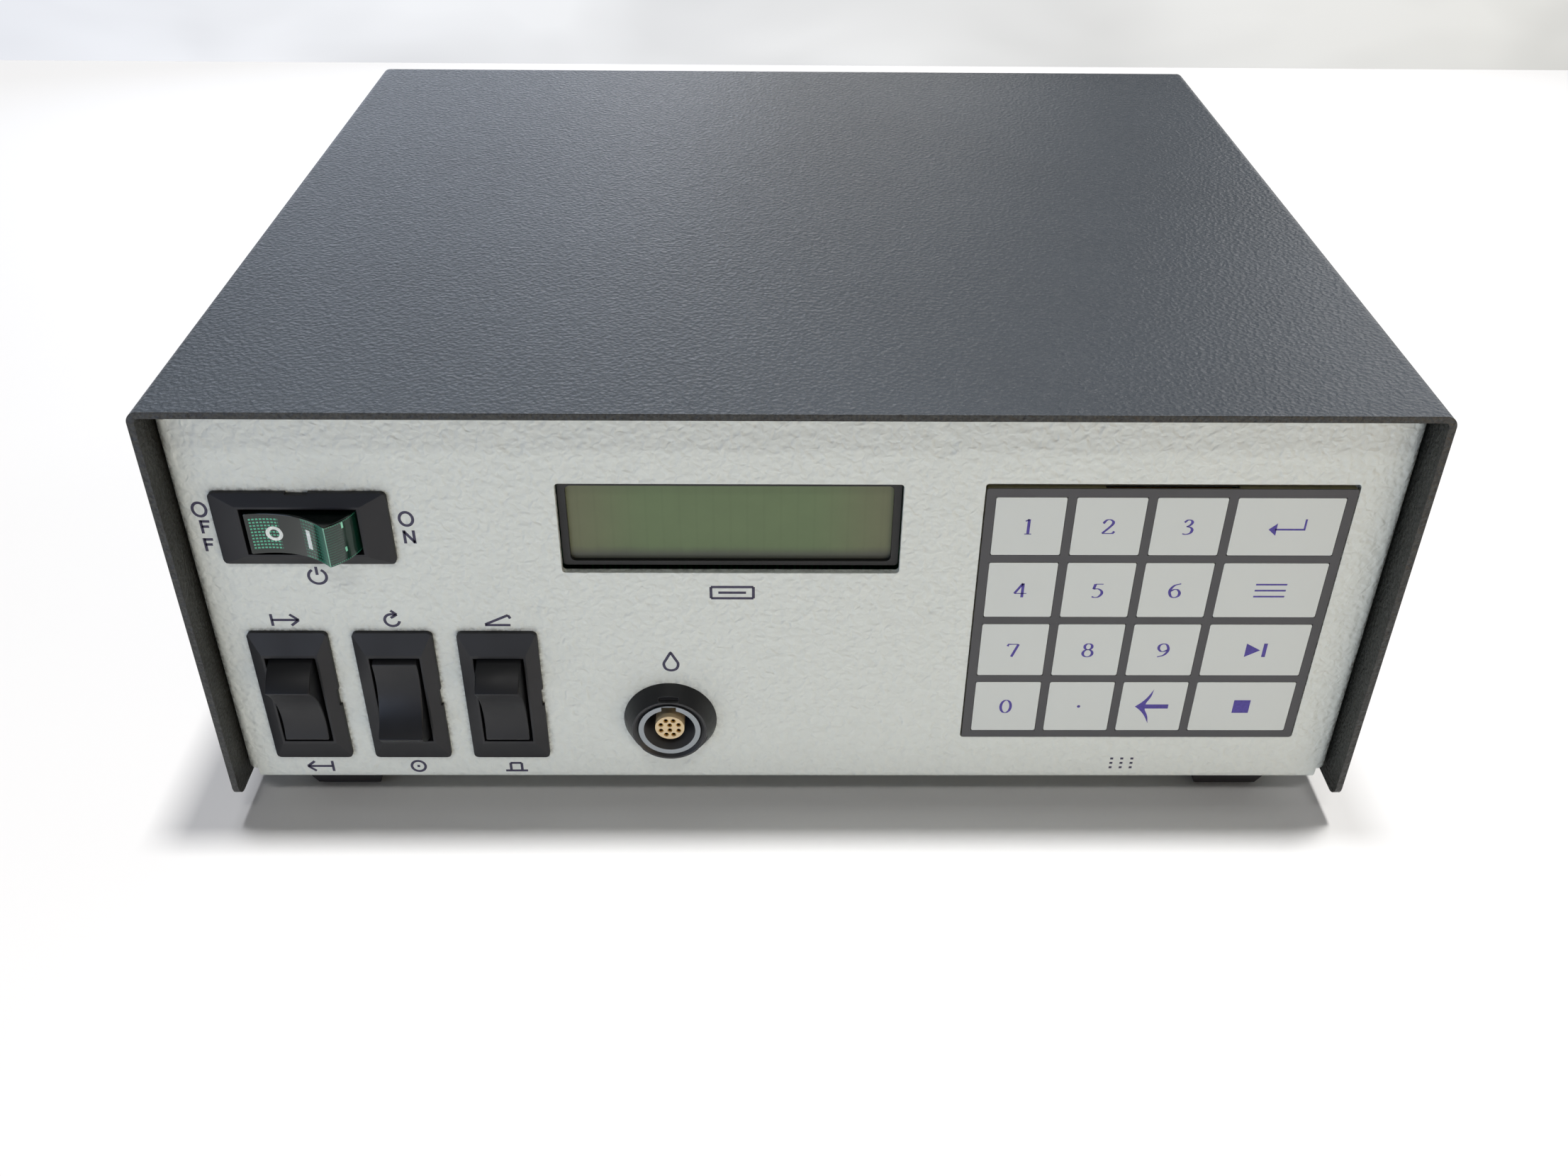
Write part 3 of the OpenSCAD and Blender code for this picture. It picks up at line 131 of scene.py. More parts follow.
class RockerSizes(bpy.types.PropertyGroup):
    """Sizes of the four rockers"""

    width: FloatProperty(
        name="Width", description="Width of a rocker across its pivot",
        default=9.9 * MM, **LENGTH)
    end_radius: FloatProperty(
        name="End radius", description="Radius of the rocker's ends about its pivot",
        default=12.1 * MM, **LENGTH)
    face_radius: FloatProperty(
        name="Face radius", description="Radius of the hollow in the rocker's face",
        default=19.11 * MM, **LENGTH)
    face_rise: FloatProperty(
        name="Face rise", description="Height of the middle of the face above the pivot",
        default=5.5 * MM, **LENGTH)
    skirt: FloatProperty(
        name="Skirt", description="Depth of the rocker's lower edge under the pivot",
        default=1.5 * MM, **LENGTH)
    ridge_softness: FloatProperty(
        name="Ridge softness", description="Width over which two sides of the outline blend",
        default=0.13 * MM, **LENGTH)
    edge_radius: FloatProperty(
        name="Edge radius", description="Radius along the rocker's two long sides",
        default=0.3 * MM, **LENGTH)
    tilt: FloatProperty(
        name="Tilt", description="Tilt of a rocker at rest",
        subtype="ANGLE", default=math.radians(16))


class PrintSizes(bpy.types.PropertyGroup):
    """Sizes and colours of the printed legends"""

    digit_height: FloatProperty(
        name="Digit height", description="Height of the digits on the keys",
        default=3.8 * MM, **LENGTH)
    letter_height: FloatProperty(
        name="Letter height", description="Height of the letters beside the power switch",
        default=3.3 * MM, **LENGTH)
    ink_thickness: FloatProperty(
        name="Ink thickness", description="How far the ink stands off what it is printed on",
        default=0.02 * MM, **LENGTH)
    panel_ink: FloatVectorProperty(
        name="Panel ink", description="Violet black of the printing on the panel",
        default=linear_rgb("#3c3a50"), **COLOUR)
    key_ink: FloatVectorProperty(
        name="Key ink", description="Violet of the printing on the keys",
        default=linear_rgb("#4a3f92"), **COLOUR)


class StageSizes(bpy.types.PropertyGroup):
    """Table, backdrop, lamps and camera"""

    table_depth: FloatProperty(
        name="Table depth", description="From the controller's middle to the table's back edge",
        default=0.524, **LENGTH)
    cloth_height: FloatProperty(
        name="Cloth height", description="Height of the cloth behind the table",
        default=0.34, **LENGTH)
    key_power: FloatProperty(
        name="Key power", description="Power of the two ceiling lamps over the controller together",
        unit="POWER", default=143.0)
    second_power: FloatProperty(
        name="Second power", description="Power of the high lamp in front of the controller",
        unit="POWER", default=17.0)
    fill_power: FloatProperty(
        name="Fill power", description="Power of the window-like lamp at the front left",
        unit="POWER", default=0.9)
    card_power: FloatProperty(
        name="Card power",
        description="Power of the low soft lamp at the back left, which sets the other two there",
        unit="POWER", default=0.3)
    bounce_power: FloatProperty(
        name="Bounce power",
        description="Twice the power of the low lamp at the front left, which sets the right one",
        unit="POWER", default=2.5)
    focal_length: FloatProperty(
        name="Focal length", description="Focal length on a sensor 36 mm wide",
        default=33.108)
    samples: IntProperty(
        name="Bevel samples", description="Samples of the rounded edges in the materials",
        default=4, min=2, max=16)


def add_node(tree, kind, inputs=(), **settings):
    """Adds a node with its settings, and sets or links each of its named or numbered inputs"""
    node = tree.nodes.new(kind)
    for name, value in settings.items():
        setattr(node, name, value)
    for name, value in dict(inputs).items():
        if isinstance(value, bpy.types.NodeSocket):
            tree.links.new(value, node.inputs[name])
        else:
            node.inputs[name].default_value = value
    return node


def new_material(name):
    """An empty material and its node tree"""
    material = bpy.data.materials.new(name)
    material.use_nodes = True
    material.node_tree.nodes.clear()
    return material, material.node_tree


def dress(material, *nodes):
    """Gives CAD nodes a material in place of their plain one"""
    for node in nodes:
        slots = frame["nodes"][node].material_slots
        if not slots:
            frame["nodes"][node].data.materials.append(material)
        for slot in slots:
            slot.material = material


def grid_faces(rows, columns, ring=False, closed=False):
    """Four-sided faces of a grid of points numbered row by row. With ring each row's last point
    joins its first, and with closed the last row joins the first."""
    i = np.arange(rows if closed else rows - 1)[:, None]
    j = np.arange(columns if ring else columns - 1)[None, :]
    below, right = (i + 1) % rows, (j + 1) % columns
    corners = [
        i * columns + j, i * columns + right, below * columns + right, below * columns + j]
    return np.stack(np.broadcast_arrays(*corners), -1).reshape(-1, 4).tolist()


def join(parts):
    """One list of points and one of faces from several"""
    points, faces, start = [], [], 0
    for part_points, part_faces in parts:
        points.append(part_points)
        faces += [[start + index for index in face] for face in part_faces]
        start += len(part_points)
    return np.concatenate(points), faces


def new_object(name, points, faces, material, smooth=True):
    """A mesh object in the scene from its points and faces"""
    mesh = bpy.data.meshes.new(name)
    mesh.from_pydata(points.tolist(), [], faces)
    mesh.polygons.foreach_set("use_smooth", [smooth] * len(mesh.polygons))
    mesh.materials.append(material)
    thing = bpy.data.objects.new(name, mesh)
    bpy.context.scene.collection.objects.link(thing)
    return thing


def make_piece(name, points, faces, material, body, replaces=(), uv=None, smooth=True):
    """A mesh object in the row frame that rides on a body; uv holds one pair for each point"""
    piece = new_object(name, points, faces, material, smooth)
    mesh = piece.data
    if uv is not None:
        corners = np.empty(len(mesh.loops), np.int32)
        mesh.loops.foreach_get("vertex_index", corners)
        layer = mesh.uv_layers.new(name="Outline")
        layer.data.foreach_set("uv", uv[corners].astype(np.float32).ravel())
    if mesh.validate():
        raise RuntimeError(f"{name} has faces that can't be used")
    if smooth:
        mesh.set_sharp_from_angle(angle=SHARP_ANGLE)
    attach(piece, body)
    if replaces:
        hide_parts(*replaces)
    return piece


def curve_through(points, steps=10):
    """Smooth curve through the points: between two neighbours it is the cubic that leaves each
    with the slope from the point before it to the point after it"""
    points = np.asarray(points, float)
    padded = np.vstack([2 * points[0] - points[1], points, 2 * points[-1] - points[-2]])
    before, start, end, after = padded[:-3], padded[1:-2], padded[2:-1], padded[3:]
    t = np.arange(steps)[None, :, None] / steps
    before, start, end, after = (p[:, None, :] for p in (before, start, end, after))
    curve = start + 0.5 * t * (
        end - before + t * (2 * before - 5 * start + 4 * end - after
                            + t * (3 * (start - end) + after - before)))
    return np.vstack([curve.reshape(-1, points.shape[1]), points[-1]])


def oval(x, y, half_width, half_height, start=0.0, sweep=360.0, steps=48):
    """Points of an oval from its start angle over its sweep, both in degrees"""
    angle = np.radians(start + np.linspace(0, sweep, steps + 1))
    return np.stack([x + half_width * np.cos(angle), y + half_height * np.sin(angle)], -1)


def stroke(path, width, high, low=0.0, closed=False):
    """Solid line of ink: a box section of the given width and height carried along a flat path,
    square to a loop's direction at each point. An open path gets closed ends, and at its corners
    the section follows the bisector, longer by one over the cosine of half the turn."""
    path = np.asarray(path, float)
    if closed:
        along = np.roll(path, -1, axis=0) - np.roll(path, 1, axis=0)
        along /= np.linalg.norm(along, axis=1, keepdims=True)
        side = np.stack([-along[:, 1], along[:, 0]], -1)
    else:
        ahead = np.diff(path, axis=0)
        ahead /= np.linalg.norm(ahead, axis=1, keepdims=True)
        first, last = np.vstack([ahead[:1], ahead]), np.vstack([ahead, ahead[-1:]])
        half_turn = np.sqrt(np.maximum((1 + (first * last).sum(1)) / 2, 0.2))
        bisector = first + last
        bisector /= np.linalg.norm(bisector, axis=1, keepdims=True)
        side = np.stack([-bisector[:, 1], bisector[:, 0]], -1) / half_turn[:, None]
    side = side * np.broadcast_to(width, len(path))[:, None] / 2
    section = [np.column_stack([path + sign * side, np.full(len(path), level)])
               for sign, level in ((1, high), (1, low), (-1, low), (-1, high))]
    faces = grid_faces(len(path), 4, ring=True, closed=closed)
    if not closed:
        last = 4 * (len(path) - 1)
        faces += [[3, 2, 1, 0], [last, last + 1, last + 2, last + 3]]
    return np.stack(section, 1).reshape(-1, 3), faces


def patch(outline, high, low=0.0):
    """Solid patch of ink: a flat outline, listed anticlockwise, raised from low to high"""
    outline = np.asarray(outline, float)
    count = len(outline)
    points = np.vstack([
        np.column_stack([outline, np.full(count, level)]) for level in (low, high)])
    ends = [list(range(count))[::-1], list(range(count, 2 * count))]
    return points, grid_faces(2, count, ring=True) + ends


def pen_width(path, thin, thick):
    """Width of a broad pen along a path: thin where it runs level and thick where it runs
    upright, in step with the 1.6th power of the direction's upright part"""
    along = np.gradient(np.asarray(path, float), axis=0)
    along /= np.linalg.norm(along, axis=1, keepdims=True)
    return thin + (thick - thin) * np.abs(along[:, 1]) ** 1.6


def facing_front(points, x, y, z):
    """Moves flat points (right, up, out) to a place on a face that looks to the front"""
    return np.column_stack([x + points[:, 0], y - points[:, 2], z + points[:, 1]])


def relief(tree, height, strength, depth, radius, samples):
    """Normal of a surface with bumps of the given depth and with its edges rounded, and the
    normal with the round edges alone"""
    rounded = add_node(
        tree, "ShaderNodeBevel", {"Radius": radius}, samples=samples).outputs["Normal"]
    bump = add_node(tree, "ShaderNodeBump", {
        "Strength": strength, "Distance": depth, "Height": height, "Normal": rounded})
    return bump.outputs["Normal"], rounded


def edge_share(tree, rounded, start, full, most):
    """How much of an edge's colour a place gets: nothing where the rounded normal agrees with the
    true one up to the start, and the most where it agrees no better than full. The edge's colour
    is a pale one for rubbing and a painted highlight, and on the cover's cut edges a black one
    for painted shade."""
    true_normal = add_node(tree, "ShaderNodeNewGeometry").outputs["Normal"]
    facing = add_node(tree, "ShaderNodeVectorMath", {
        0: rounded, 1: true_normal}, operation="DOT_PRODUCT")
    return add_node(tree, "ShaderNodeMapRange", dict(zip(
        SPAN, (facing.outputs["Value"], start, full, 0.0, most)))).outputs["Result"]


def powder_coated_steel(finish, samples):
    """Textured polyester powder coat on sheet steel: sprayed dry and baked, so that it sets in
    small glossy humps, which break the light into sparkles. The inner faces are painted darker,
    as painted shade under the cover. The cut edges that face the front are painted nearly black
    and speckled, as painted shade, and a black line along their rounded corner is painted shade
    too. Along the bends and corners of the outside a pale line is painted, which stands for
    rubbed paint and for a painted highlight."""
    material, tree = new_material("textured powder coat")
    coordinates = add_node(tree, "ShaderNodeTexCoord").outputs
    place, square = coordinates["Object"], coordinates["Normal"]
    humps = add_node(tree, "ShaderNodeTexVoronoi", {
        "Vector": place, "Scale": 1 / finish.cover_grain, "Smoothness": 0.7, "Randomness": 1.0},
        feature="SMOOTH_F1")
    skin, specks, cloud = (
        add_node(tree, "ShaderNodeTexNoise", dict(zip(NOISE, (place, *values)))).outputs["Fac"]
        for values in ((1.4 / finish.cover_grain, 2.0, 0.55), (1 / (0.5 * MM), 3.0, 0.6),
                       (0.014 / MM, 2.0, 0.5)))
    height = add_node(tree, "ShaderNodeMath", {
        0: humps.outputs["Distance"], 1: 1.1, 2: skin}, operation="MULTIPLY_ADD")
    normal, rounded = relief(
        tree, height.outputs[0], 1.0, 0.22 * MM, finish.edge_radius, samples)
    near_edge = edge_share(tree, rounded, 0.96, 0.76, 1.0)
    flecked, chips, tone, gloss = (
        add_node(tree, "ShaderNodeMapRange", dict(zip(SPAN, values))).outputs["Result"]
        for values in ((specks, 0.38, 0.62, *WHOLE), (specks, 0.4, 0.6, 0.1, 0.75),
                       (cloud, *MIDDLE, 0.92, 1.08), (skin, *MIDDLE, 0.5, 0.34)))
    middle = (COVER_LOW + COVER_HIGH) / 2
    outwards = add_node(tree, "ShaderNodeVectorMath", {
        0: place, 1: (middle.x, COVER_LOW.y, middle.z)}, operation="SUBTRACT")
    turned_out = add_node(tree, "ShaderNodeVectorMath", {
        0: outwards.outputs["Vector"], 1: square}, operation="DOT_PRODUCT")
    forwards = add_node(tree, "ShaderNodeSeparateXYZ", {"Vector": square}).outputs["Y"]
    # Inner faces: painted darker than the outside, as painted shade under the cover
    inside = add_node(tree, "ShaderNodeMath", {
        0: turned_out.outputs["Value"], 1: INSIDE_FROM}, operation="LESS_THAN").outputs[0]
    # Cut edges facing the front: painted nearly black and speckled, as painted shade
    cut_edge_shade = add_node(tree, "ShaderNodeMath", {
        0: forwards, 1: CUT_EDGE_FROM}, operation="LESS_THAN").outputs[0]
    # A pale line along the bends for rubbed paint and a painted highlight, and a black line along
    # the cut edges' rounded corner as painted shade
    rubbed_and_lit, arris_shade = (
        add_node(tree, "ShaderNodeMath", {0: near_edge, 1: where}, operation="MULTIPLY").outputs[0]
        for where in (chips, cut_edge_shade))
    coated = add_node(tree, "ShaderNodeVectorMath", {
        0: tuple(finish.cover_colour)[:3], "Scale": tone}, operation="SCALE")
    fleck = add_node(tree, "ShaderNodeMix", {
        "Factor": flecked, 6: linear_rgb("#121312"), 7: linear_rgb("#30322f")},
        data_type="RGBA")
    colour = coated.outputs["Vector"]
    for share, tint in (
            (rubbed_and_lit, linear_rgb("#a9acb0")), (inside, linear_rgb("#2b2c29")),
            (cut_edge_shade, fleck.outputs[2]), (arris_shade, linear_rgb("#060607"))):
        colour = add_node(tree, "ShaderNodeMix", {
            "Factor": share, 6: colour, 7: tint}, data_type="RGBA", clamp_factor=True).outputs[2]
    coat = add_node(tree, "ShaderNodeBsdfPrincipled", {
        "Base Color": colour, "Roughness": gloss, "IOR": 1.5, "Normal": normal})
    add_node(tree, "ShaderNodeOutputMaterial", {"Surface": coat.outputs["BSDF"]})
    return material


def pebbled_enamel(finish, samples):
    """Light grey baking enamel with a pebbled skin, sprayed on sheet steel: soft shallow dimples
    a couple of millimetres apart, satin, and speckled darker where parts stand on it, which is
    grime and painted shade in the corners. Studs welded behind the display leave four faint
    sunk marks, which the coat doesn't quite fill."""
    material, tree = new_material("pebbled enamel")
    place = add_node(tree, "ShaderNodeTexCoord").outputs["Object"]
    pebbles = add_node(tree, "ShaderNodeTexNoise", {
        **dict(zip(NOISE, (place, 1.1 / finish.panel_grain, 1.5, 0.45))), "Distortion": 0.6})
    skin = add_node(tree, "ShaderNodeTexVoronoi", {
        "Vector": place, "Scale": 1.5 / finish.panel_grain, "Smoothness": 1.0},
        feature="SMOOTH_F1")
    coat_height = add_node(tree, "ShaderNodeMath", {
        0: skin.outputs["Distance"], 1: 0.6, 2: pebbles.outputs["Fac"]}, operation="MULTIPLY_ADD")
    glass_low, glass_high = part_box("lcd_glass")
    middle = (glass_low + glass_high) / 2
    way = place
    for operation, values in (
            ("SUBTRACT", {1: (middle.x, 0, middle.z)}), ("ABSOLUTE", {}),
            ("SUBTRACT", {1: (STUD_X, 0, STUD_Z)}), ("MULTIPLY", {1: (1, 0, 1)})):
        way = add_node(tree, "ShaderNodeVectorMath", {
            0: way, **values}, operation=operation).outputs["Vector"]
    to_stud = add_node(tree, "ShaderNodeVectorMath", {0: way}, operation="LENGTH")
    sunk = add_node(tree, "ShaderNodeMapRange", dict(zip(
        SPAN, (to_stud.outputs["Value"], STUD_RADIUS, STUD_REACH, -0.55, 0.0))),
        interpolation_type="SMOOTHSTEP")
    height = add_node(tree, "ShaderNodeMath", {
        0: coat_height.outputs[0], 1: sunk.outputs["Result"]}, operation="ADD")
    normal, _ = relief(tree, height.outputs[0], 1.0, 0.42 * MM, finish.edge_radius, samples)
    # Speckled darkening where parts hem the panel in: grime and painted shade in the corners
    corner = add_node(tree, "ShaderNodeAmbientOcclusion", {"Distance": 2.4 * MM}, samples=8)
    specks = add_node(tree, "ShaderNodeTexNoise", dict(zip(NOISE, (place, 0.9 / MM, 2.0, 0.7))))
    speckle, crevice_shade, tone = (
        add_node(tree, "ShaderNodeMapRange", dict(zip(SPAN, values))).outputs["Result"]
        for values in ((specks.outputs["Fac"], 0.42, 0.62, 0.0, 0.75),
                       (corner.outputs["AO"], 0.95, 0.45, *WHOLE),
                       (pebbles.outputs["Fac"], *MIDDLE, 0.975, 1.025)))
    grime_and_shade = add_node(tree, "ShaderNodeMath", {0: crevice_shade, 1: speckle}, operation="MULTIPLY")
    enamel = add_node(tree, "ShaderNodeVectorMath", {
        0: tuple(finish.panel_colour)[:3], "Scale": tone}, operation="SCALE")
    colour = add_node(tree, "ShaderNodeMix", {
        "Factor": grime_and_shade.outputs[0], 6: enamel.outputs["Vector"], 7: linear_rgb("#6b6a62")},
        data_type="RGBA", clamp_factor=True)
    coat = add_node(tree, "ShaderNodeBsdfPrincipled", {
        "Base Color": colour.outputs[2], "Roughness": 0.42, "IOR": 1.5, "Normal": normal})
    add_node(tree, "ShaderNodeOutputMaterial", {"Surface": coat.outputs["BSDF"]})
    return material


def moulded_plastic(name, hex_colour, roughness, grain, depth, radius, index, samples):
    """Plastic moulded in a spark-eroded tool: an even colour with a fine matte grain, and small
    round edges where the tool's halves and cores meet. Handling leaves slow changes of gloss,
    about 8 mm apart. The tool's grain is finer than a tenth of a millimetre; it is drawn several
    times as coarse, so that it shows. Lengths are in mm."""
    material, tree = new_material(name)
    place = add_node(tree, "ShaderNodeTexCoord").outputs["Object"]
    spark, handled = (
        add_node(tree, "ShaderNodeTexNoise", dict(zip(NOISE, (place, *values)))).outputs["Fac"]
        for values in ((1 / (grain * MM), 2.0, 0.6), (0.12 / MM, 3.0, 0.6)))
    normal, _ = relief(tree, spark, 0.5, depth * MM, radius * MM, samples)
    gloss = add_node(tree, "ShaderNodeMapRange", dict(zip(
        SPAN, (handled, *MIDDLE, roughness - 0.05, roughness + 0.06))))
    plastic = add_node(tree, "ShaderNodeBsdfPrincipled", {
        "Base Color": linear_rgb(hex_colour), "Roughness": gloss.outputs["Result"], "IOR": index,
        "Normal": normal})
    add_node(tree, "ShaderNodeOutputMaterial", {"Surface": plastic.outputs["BSDF"]})
    return material


def worked_metal(name, hex_colour, roughness, stretch, marks_per_mm, depth, radius, rubbed_and_lit, rub_and_highlight_share,
                 metallic, samples):
    """Metal with fine tool marks: stretched noise runs along the tool's path, gives thin bright
    and dull lines, and the edges are broken a little and painted paler, for rubbed metal and as
    a painted highlight. Real marks are a few hundredths of a millimetre wide; they are drawn a
    millimetre or two wide, so that they show. Anodising covers the metal with an oxide that
    doesn't reflect as metal. Lengths are in mm."""
    material, tree = new_material(name)
    place = add_node(tree, "ShaderNodeTexCoord").outputs["Object"]
    run = add_node(tree, "ShaderNodeMapping", {"Vector": place, "Scale": stretch})
    marks = add_node(tree, "ShaderNodeTexNoise", dict(zip(
        NOISE, (run.outputs["Vector"], marks_per_mm / MM, 3.0, 0.6)))).outputs["Fac"]
    normal, rounded = relief(tree, marks, 0.4, depth * MM, radius * MM, samples)
    gloss = add_node(tree, "ShaderNodeMapRange", dict(zip(
        SPAN, (marks, *MIDDLE, roughness - 0.06, roughness + 0.08))))
    # Edges painted paler: partly rubbed metal, partly a painted highlight
    tone = add_node(tree, "ShaderNodeMix", {
        "Factor": edge_share(tree, rounded, 0.985, 0.85, rub_and_highlight_share), 6: linear_rgb(hex_colour),
        7: linear_rgb(rubbed_and_lit)}, data_type="RGBA", clamp_factor=True)
    metal = add_node(tree, "ShaderNodeBsdfPrincipled", {
        "Base Color": tone.outputs[2], "Metallic": metallic,
        "Roughness": gloss.outputs["Result"], "Normal": normal})
    add_node(tree, "ShaderNodeOutputMaterial", {"Surface": metal.outputs["BSDF"]})
    return material


def polarizer_glass():
    """Cell of a reflective text display: a matte olive polarizer over a grid of character
    places, which shows as faint upright streaks. Towards the seal at the sides it is browner,
    and along the lower seal a grey band is painted as shade. The haze of the polarizer is drawn
    0.4 mm wide, coarser than it is."""
    material, tree = new_material("matte polarizer")
    low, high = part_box("lcd_glass")
    middle = (low + high) / 2
    half_width, seal = (high.x - low.x) / 2, low.z + 0.45 * MM
    place = add_node(tree, "ShaderNodeTexCoord").outputs["Object"]
    from_middle = add_node(tree, "ShaderNodeVectorMath", {
        0: place, 1: tuple(middle)}, operation="SUBTRACT").outputs["Vector"]
    right = add_node(tree, "ShaderNodeSeparateXYZ", {"Vector": from_middle}).outputs["X"]
    up = add_node(tree, "ShaderNodeSeparateXYZ", {"Vector": place}).outputs["Z"]
    cloud, haze = (
        add_node(tree, "ShaderNodeTexNoise", dict(zip(NOISE, (place, *values)))).outputs["Fac"]
        for values in ((0.16 / MM, 3.0, 0.6), (2.5 / MM, 1.0, 0.5)))
    far, cell, ragged = (
        add_node(tree, "ShaderNodeMath", values, operation=operation).outputs[0]
        for operation, values in (
            ("ABSOLUTE", {0: right}), ("PINGPONG", {0: right, 1: CHARACTER_PITCH / 2}),
            ("MULTIPLY_ADD", {0: cloud, 1: 0.9 * MM, 2: up})))
    side, streak, lower_shadow, mottle = (
        add_node(tree, "ShaderNodeMapRange", dict(zip(SPAN, values)),
                 interpolation_type=kind).outputs["Result"]
        for kind, values in (
            ("SMOOTHSTEP", (far, 0.45 * half_width, half_width, *WHOLE)),
            ("SMOOTHSTEP", (cell, 0.0, 0.5 * MM, 0.955, 1.0)),
            ("SMOOTHSTEP", (ragged, seal + 0.9 * MM, seal + 4.0 * MM, 0.9, 0.0)),
            ("LINEAR", (cloud, *MIDDLE, 0.96, 1.04))))
    tone = add_node(tree, "ShaderNodeMath", {0: streak, 1: mottle}, operation="MULTIPLY")
    olive = add_node(tree, "ShaderNodeMix", {
        "Factor": side, 6: linear_rgb("#5c6f4a"), 7: linear_rgb("#62674a")}, data_type="RGBA")
    shade = add_node(tree, "ShaderNodeVectorMath", {
        0: olive.outputs[2], "Scale": tone.outputs[0]}, operation="SCALE")
    # Grey band along the lower seal: painted shade
    colour = add_node(tree, "ShaderNodeMix", {
        "Factor": lower_shadow, 6: shade.outputs["Vector"], 7: linear_rgb("#43453f")},
        data_type="RGBA")
    bump = add_node(tree, "ShaderNodeBump", {
        "Strength": 0.25, "Distance": 0.01 * MM, "Height": haze})
    glass = add_node(tree, "ShaderNodeBsdfPrincipled", {
        "Base Color": colour.outputs[2], "Roughness": 0.42, "IOR": 1.5,
        "Normal": bump.outputs["Normal"]})
    add_node(tree, "ShaderNodeOutputMaterial", {"Surface": glass.outputs["BSDF"]})
    return material


def matte_chrome_shell(samples):
    """Turned brass shell, blasted and plated in matte chrome on its face. The bore and the keyway
    behind the face, and an inner band of the face itself, are painted dark grey, so that they look
    like a dark gap between shell and insert. The blasting's grit is drawn a quarter of a
    millimetre wide, coarser than it is."""
    material, tree = new_material("matte chrome")
    low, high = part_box("socket_shell")
    middle, outer = (low + high) / 2, (high.x - low.x) / 2
    place = add_node(tree, "ShaderNodeTexCoord").outputs["Object"]
    from_axis = add_node(tree, "ShaderNodeVectorMath", {
        0: place, 1: (middle.x, low.y, middle.z)}, operation="SUBTRACT").outputs["Vector"]
    back = add_node(tree, "ShaderNodeSeparateXYZ", {"Vector": from_axis}).outputs["Y"]
    across = add_node(tree, "ShaderNodeVectorMath", {
        0: from_axis, 1: (1, 0, 1)}, operation="MULTIPLY").outputs["Vector"]
    radius = add_node(tree, "ShaderNodeVectorMath", {
        0: across}, operation="LENGTH").outputs["Value"]
    # The bore, the keyway and an inner band of the face are painted dark grey
    on = {}
    for part, operation, one, other in (
            ("bore", "LESS_THAN", radius, outer - 0.15 * MM),
            ("behind", "GREATER_THAN", back, 0.12 * MM),
            ("lip", "LESS_THAN", radius, 0.815 * outer),
            ("deep", "MULTIPLY", "bore", "behind"), ("black", "MAXIMUM", "deep", "lip")):
        on[part] = add_node(tree, "ShaderNodeMath", {
            0: on.get(one, one), 1: on.get(other, other)}, operation=operation).outputs[0]
    grit = add_node(tree, "ShaderNodeTexNoise", dict(zip(NOISE, (place, 4 / MM, 2.0, 0.6))))
    normal, _ = relief(tree, grit.outputs["Fac"], 0.35, 0.006 * MM, 0.12 * MM, samples)
    plated = add_node(tree, "ShaderNodeBsdfPrincipled", {
        "Base Color": linear_rgb("#8f9498"), "Metallic": 1.0, "Roughness": 0.42,
        "Normal": normal})
    black = add_node(tree, "ShaderNodeBsdfPrincipled", {
        "Base Color": linear_rgb("#55575b"), "Roughness": 0.42, "Normal": normal})
    shell = add_node(tree, "ShaderNodeMixShader", {
        "Fac": on["black"], 1: plated.outputs["BSDF"], 2: black.outputs["BSDF"]})
    add_node(tree, "ShaderNodeOutputMaterial", {"Surface": shell.outputs["Shader"]})
    return material


def solder_mask(samples):
    """Glass-epoxy board under green solder mask: the weave of the glass cloth shows as a fine
    check, and copper tracks 1.27 mm apart stand out as paler bands under the lacquer."""
    material, tree = new_material("green solder mask")
    place = add_node(tree, "ShaderNodeTexCoord").outputs["Object"]
    run = add_node(tree, "ShaderNodeMapping", {
        "Vector": place, "Rotation": (0, 0, math.radians(90))})
    tracks = add_node(tree, "ShaderNodeTexBrick", {
        "Vector": run.outputs["Vector"], "Color1": (1, 1, 1, 1), "Color2": (0.2, 0.2, 0.2, 1),
        "Mortar": (0, 0, 0, 1), "Scale": 1.0, "Mortar Size": TRACK_GAP, "Mortar Smooth": 0.1,
        "Bias": 0.0, "Brick Width": TRACK_LENGTH, "Row Height": TRACK_PITCH}).outputs["Color"]
    weave = add_node(tree, "ShaderNodeTexChecker", {"Vector": place, "Scale": 1 / (0.6 * MM)})
    cloth = add_node(tree, "ShaderNodeMapRange", {
        "Value": weave.outputs["Fac"], "To Min": 0.94, "To Max": 1.06})
    lacquer = add_node(tree, "ShaderNodeMix", {
        "Factor": tracks, 6: linear_rgb("#0f4a2c"), 7: linear_rgb("#1c6a3d")},
        data_type="RGBA")
    shade = add_node(tree, "ShaderNodeVectorMath", {
        0: lacquer.outputs[2], "Scale": cloth.outputs["Result"]}, operation="SCALE")
    normal, _ = relief(tree, tracks, 0.4, 0.03 * MM, 0.1 * MM, samples)
    board = add_node(tree, "ShaderNodeBsdfPrincipled", {
        "Base Color": shade.outputs["Vector"], "Roughness": 0.3, "IOR": 1.5, "Normal": normal})
    add_node(tree, "ShaderNodeOutputMaterial", {"Surface": board.outputs["BSDF"]})
    return material


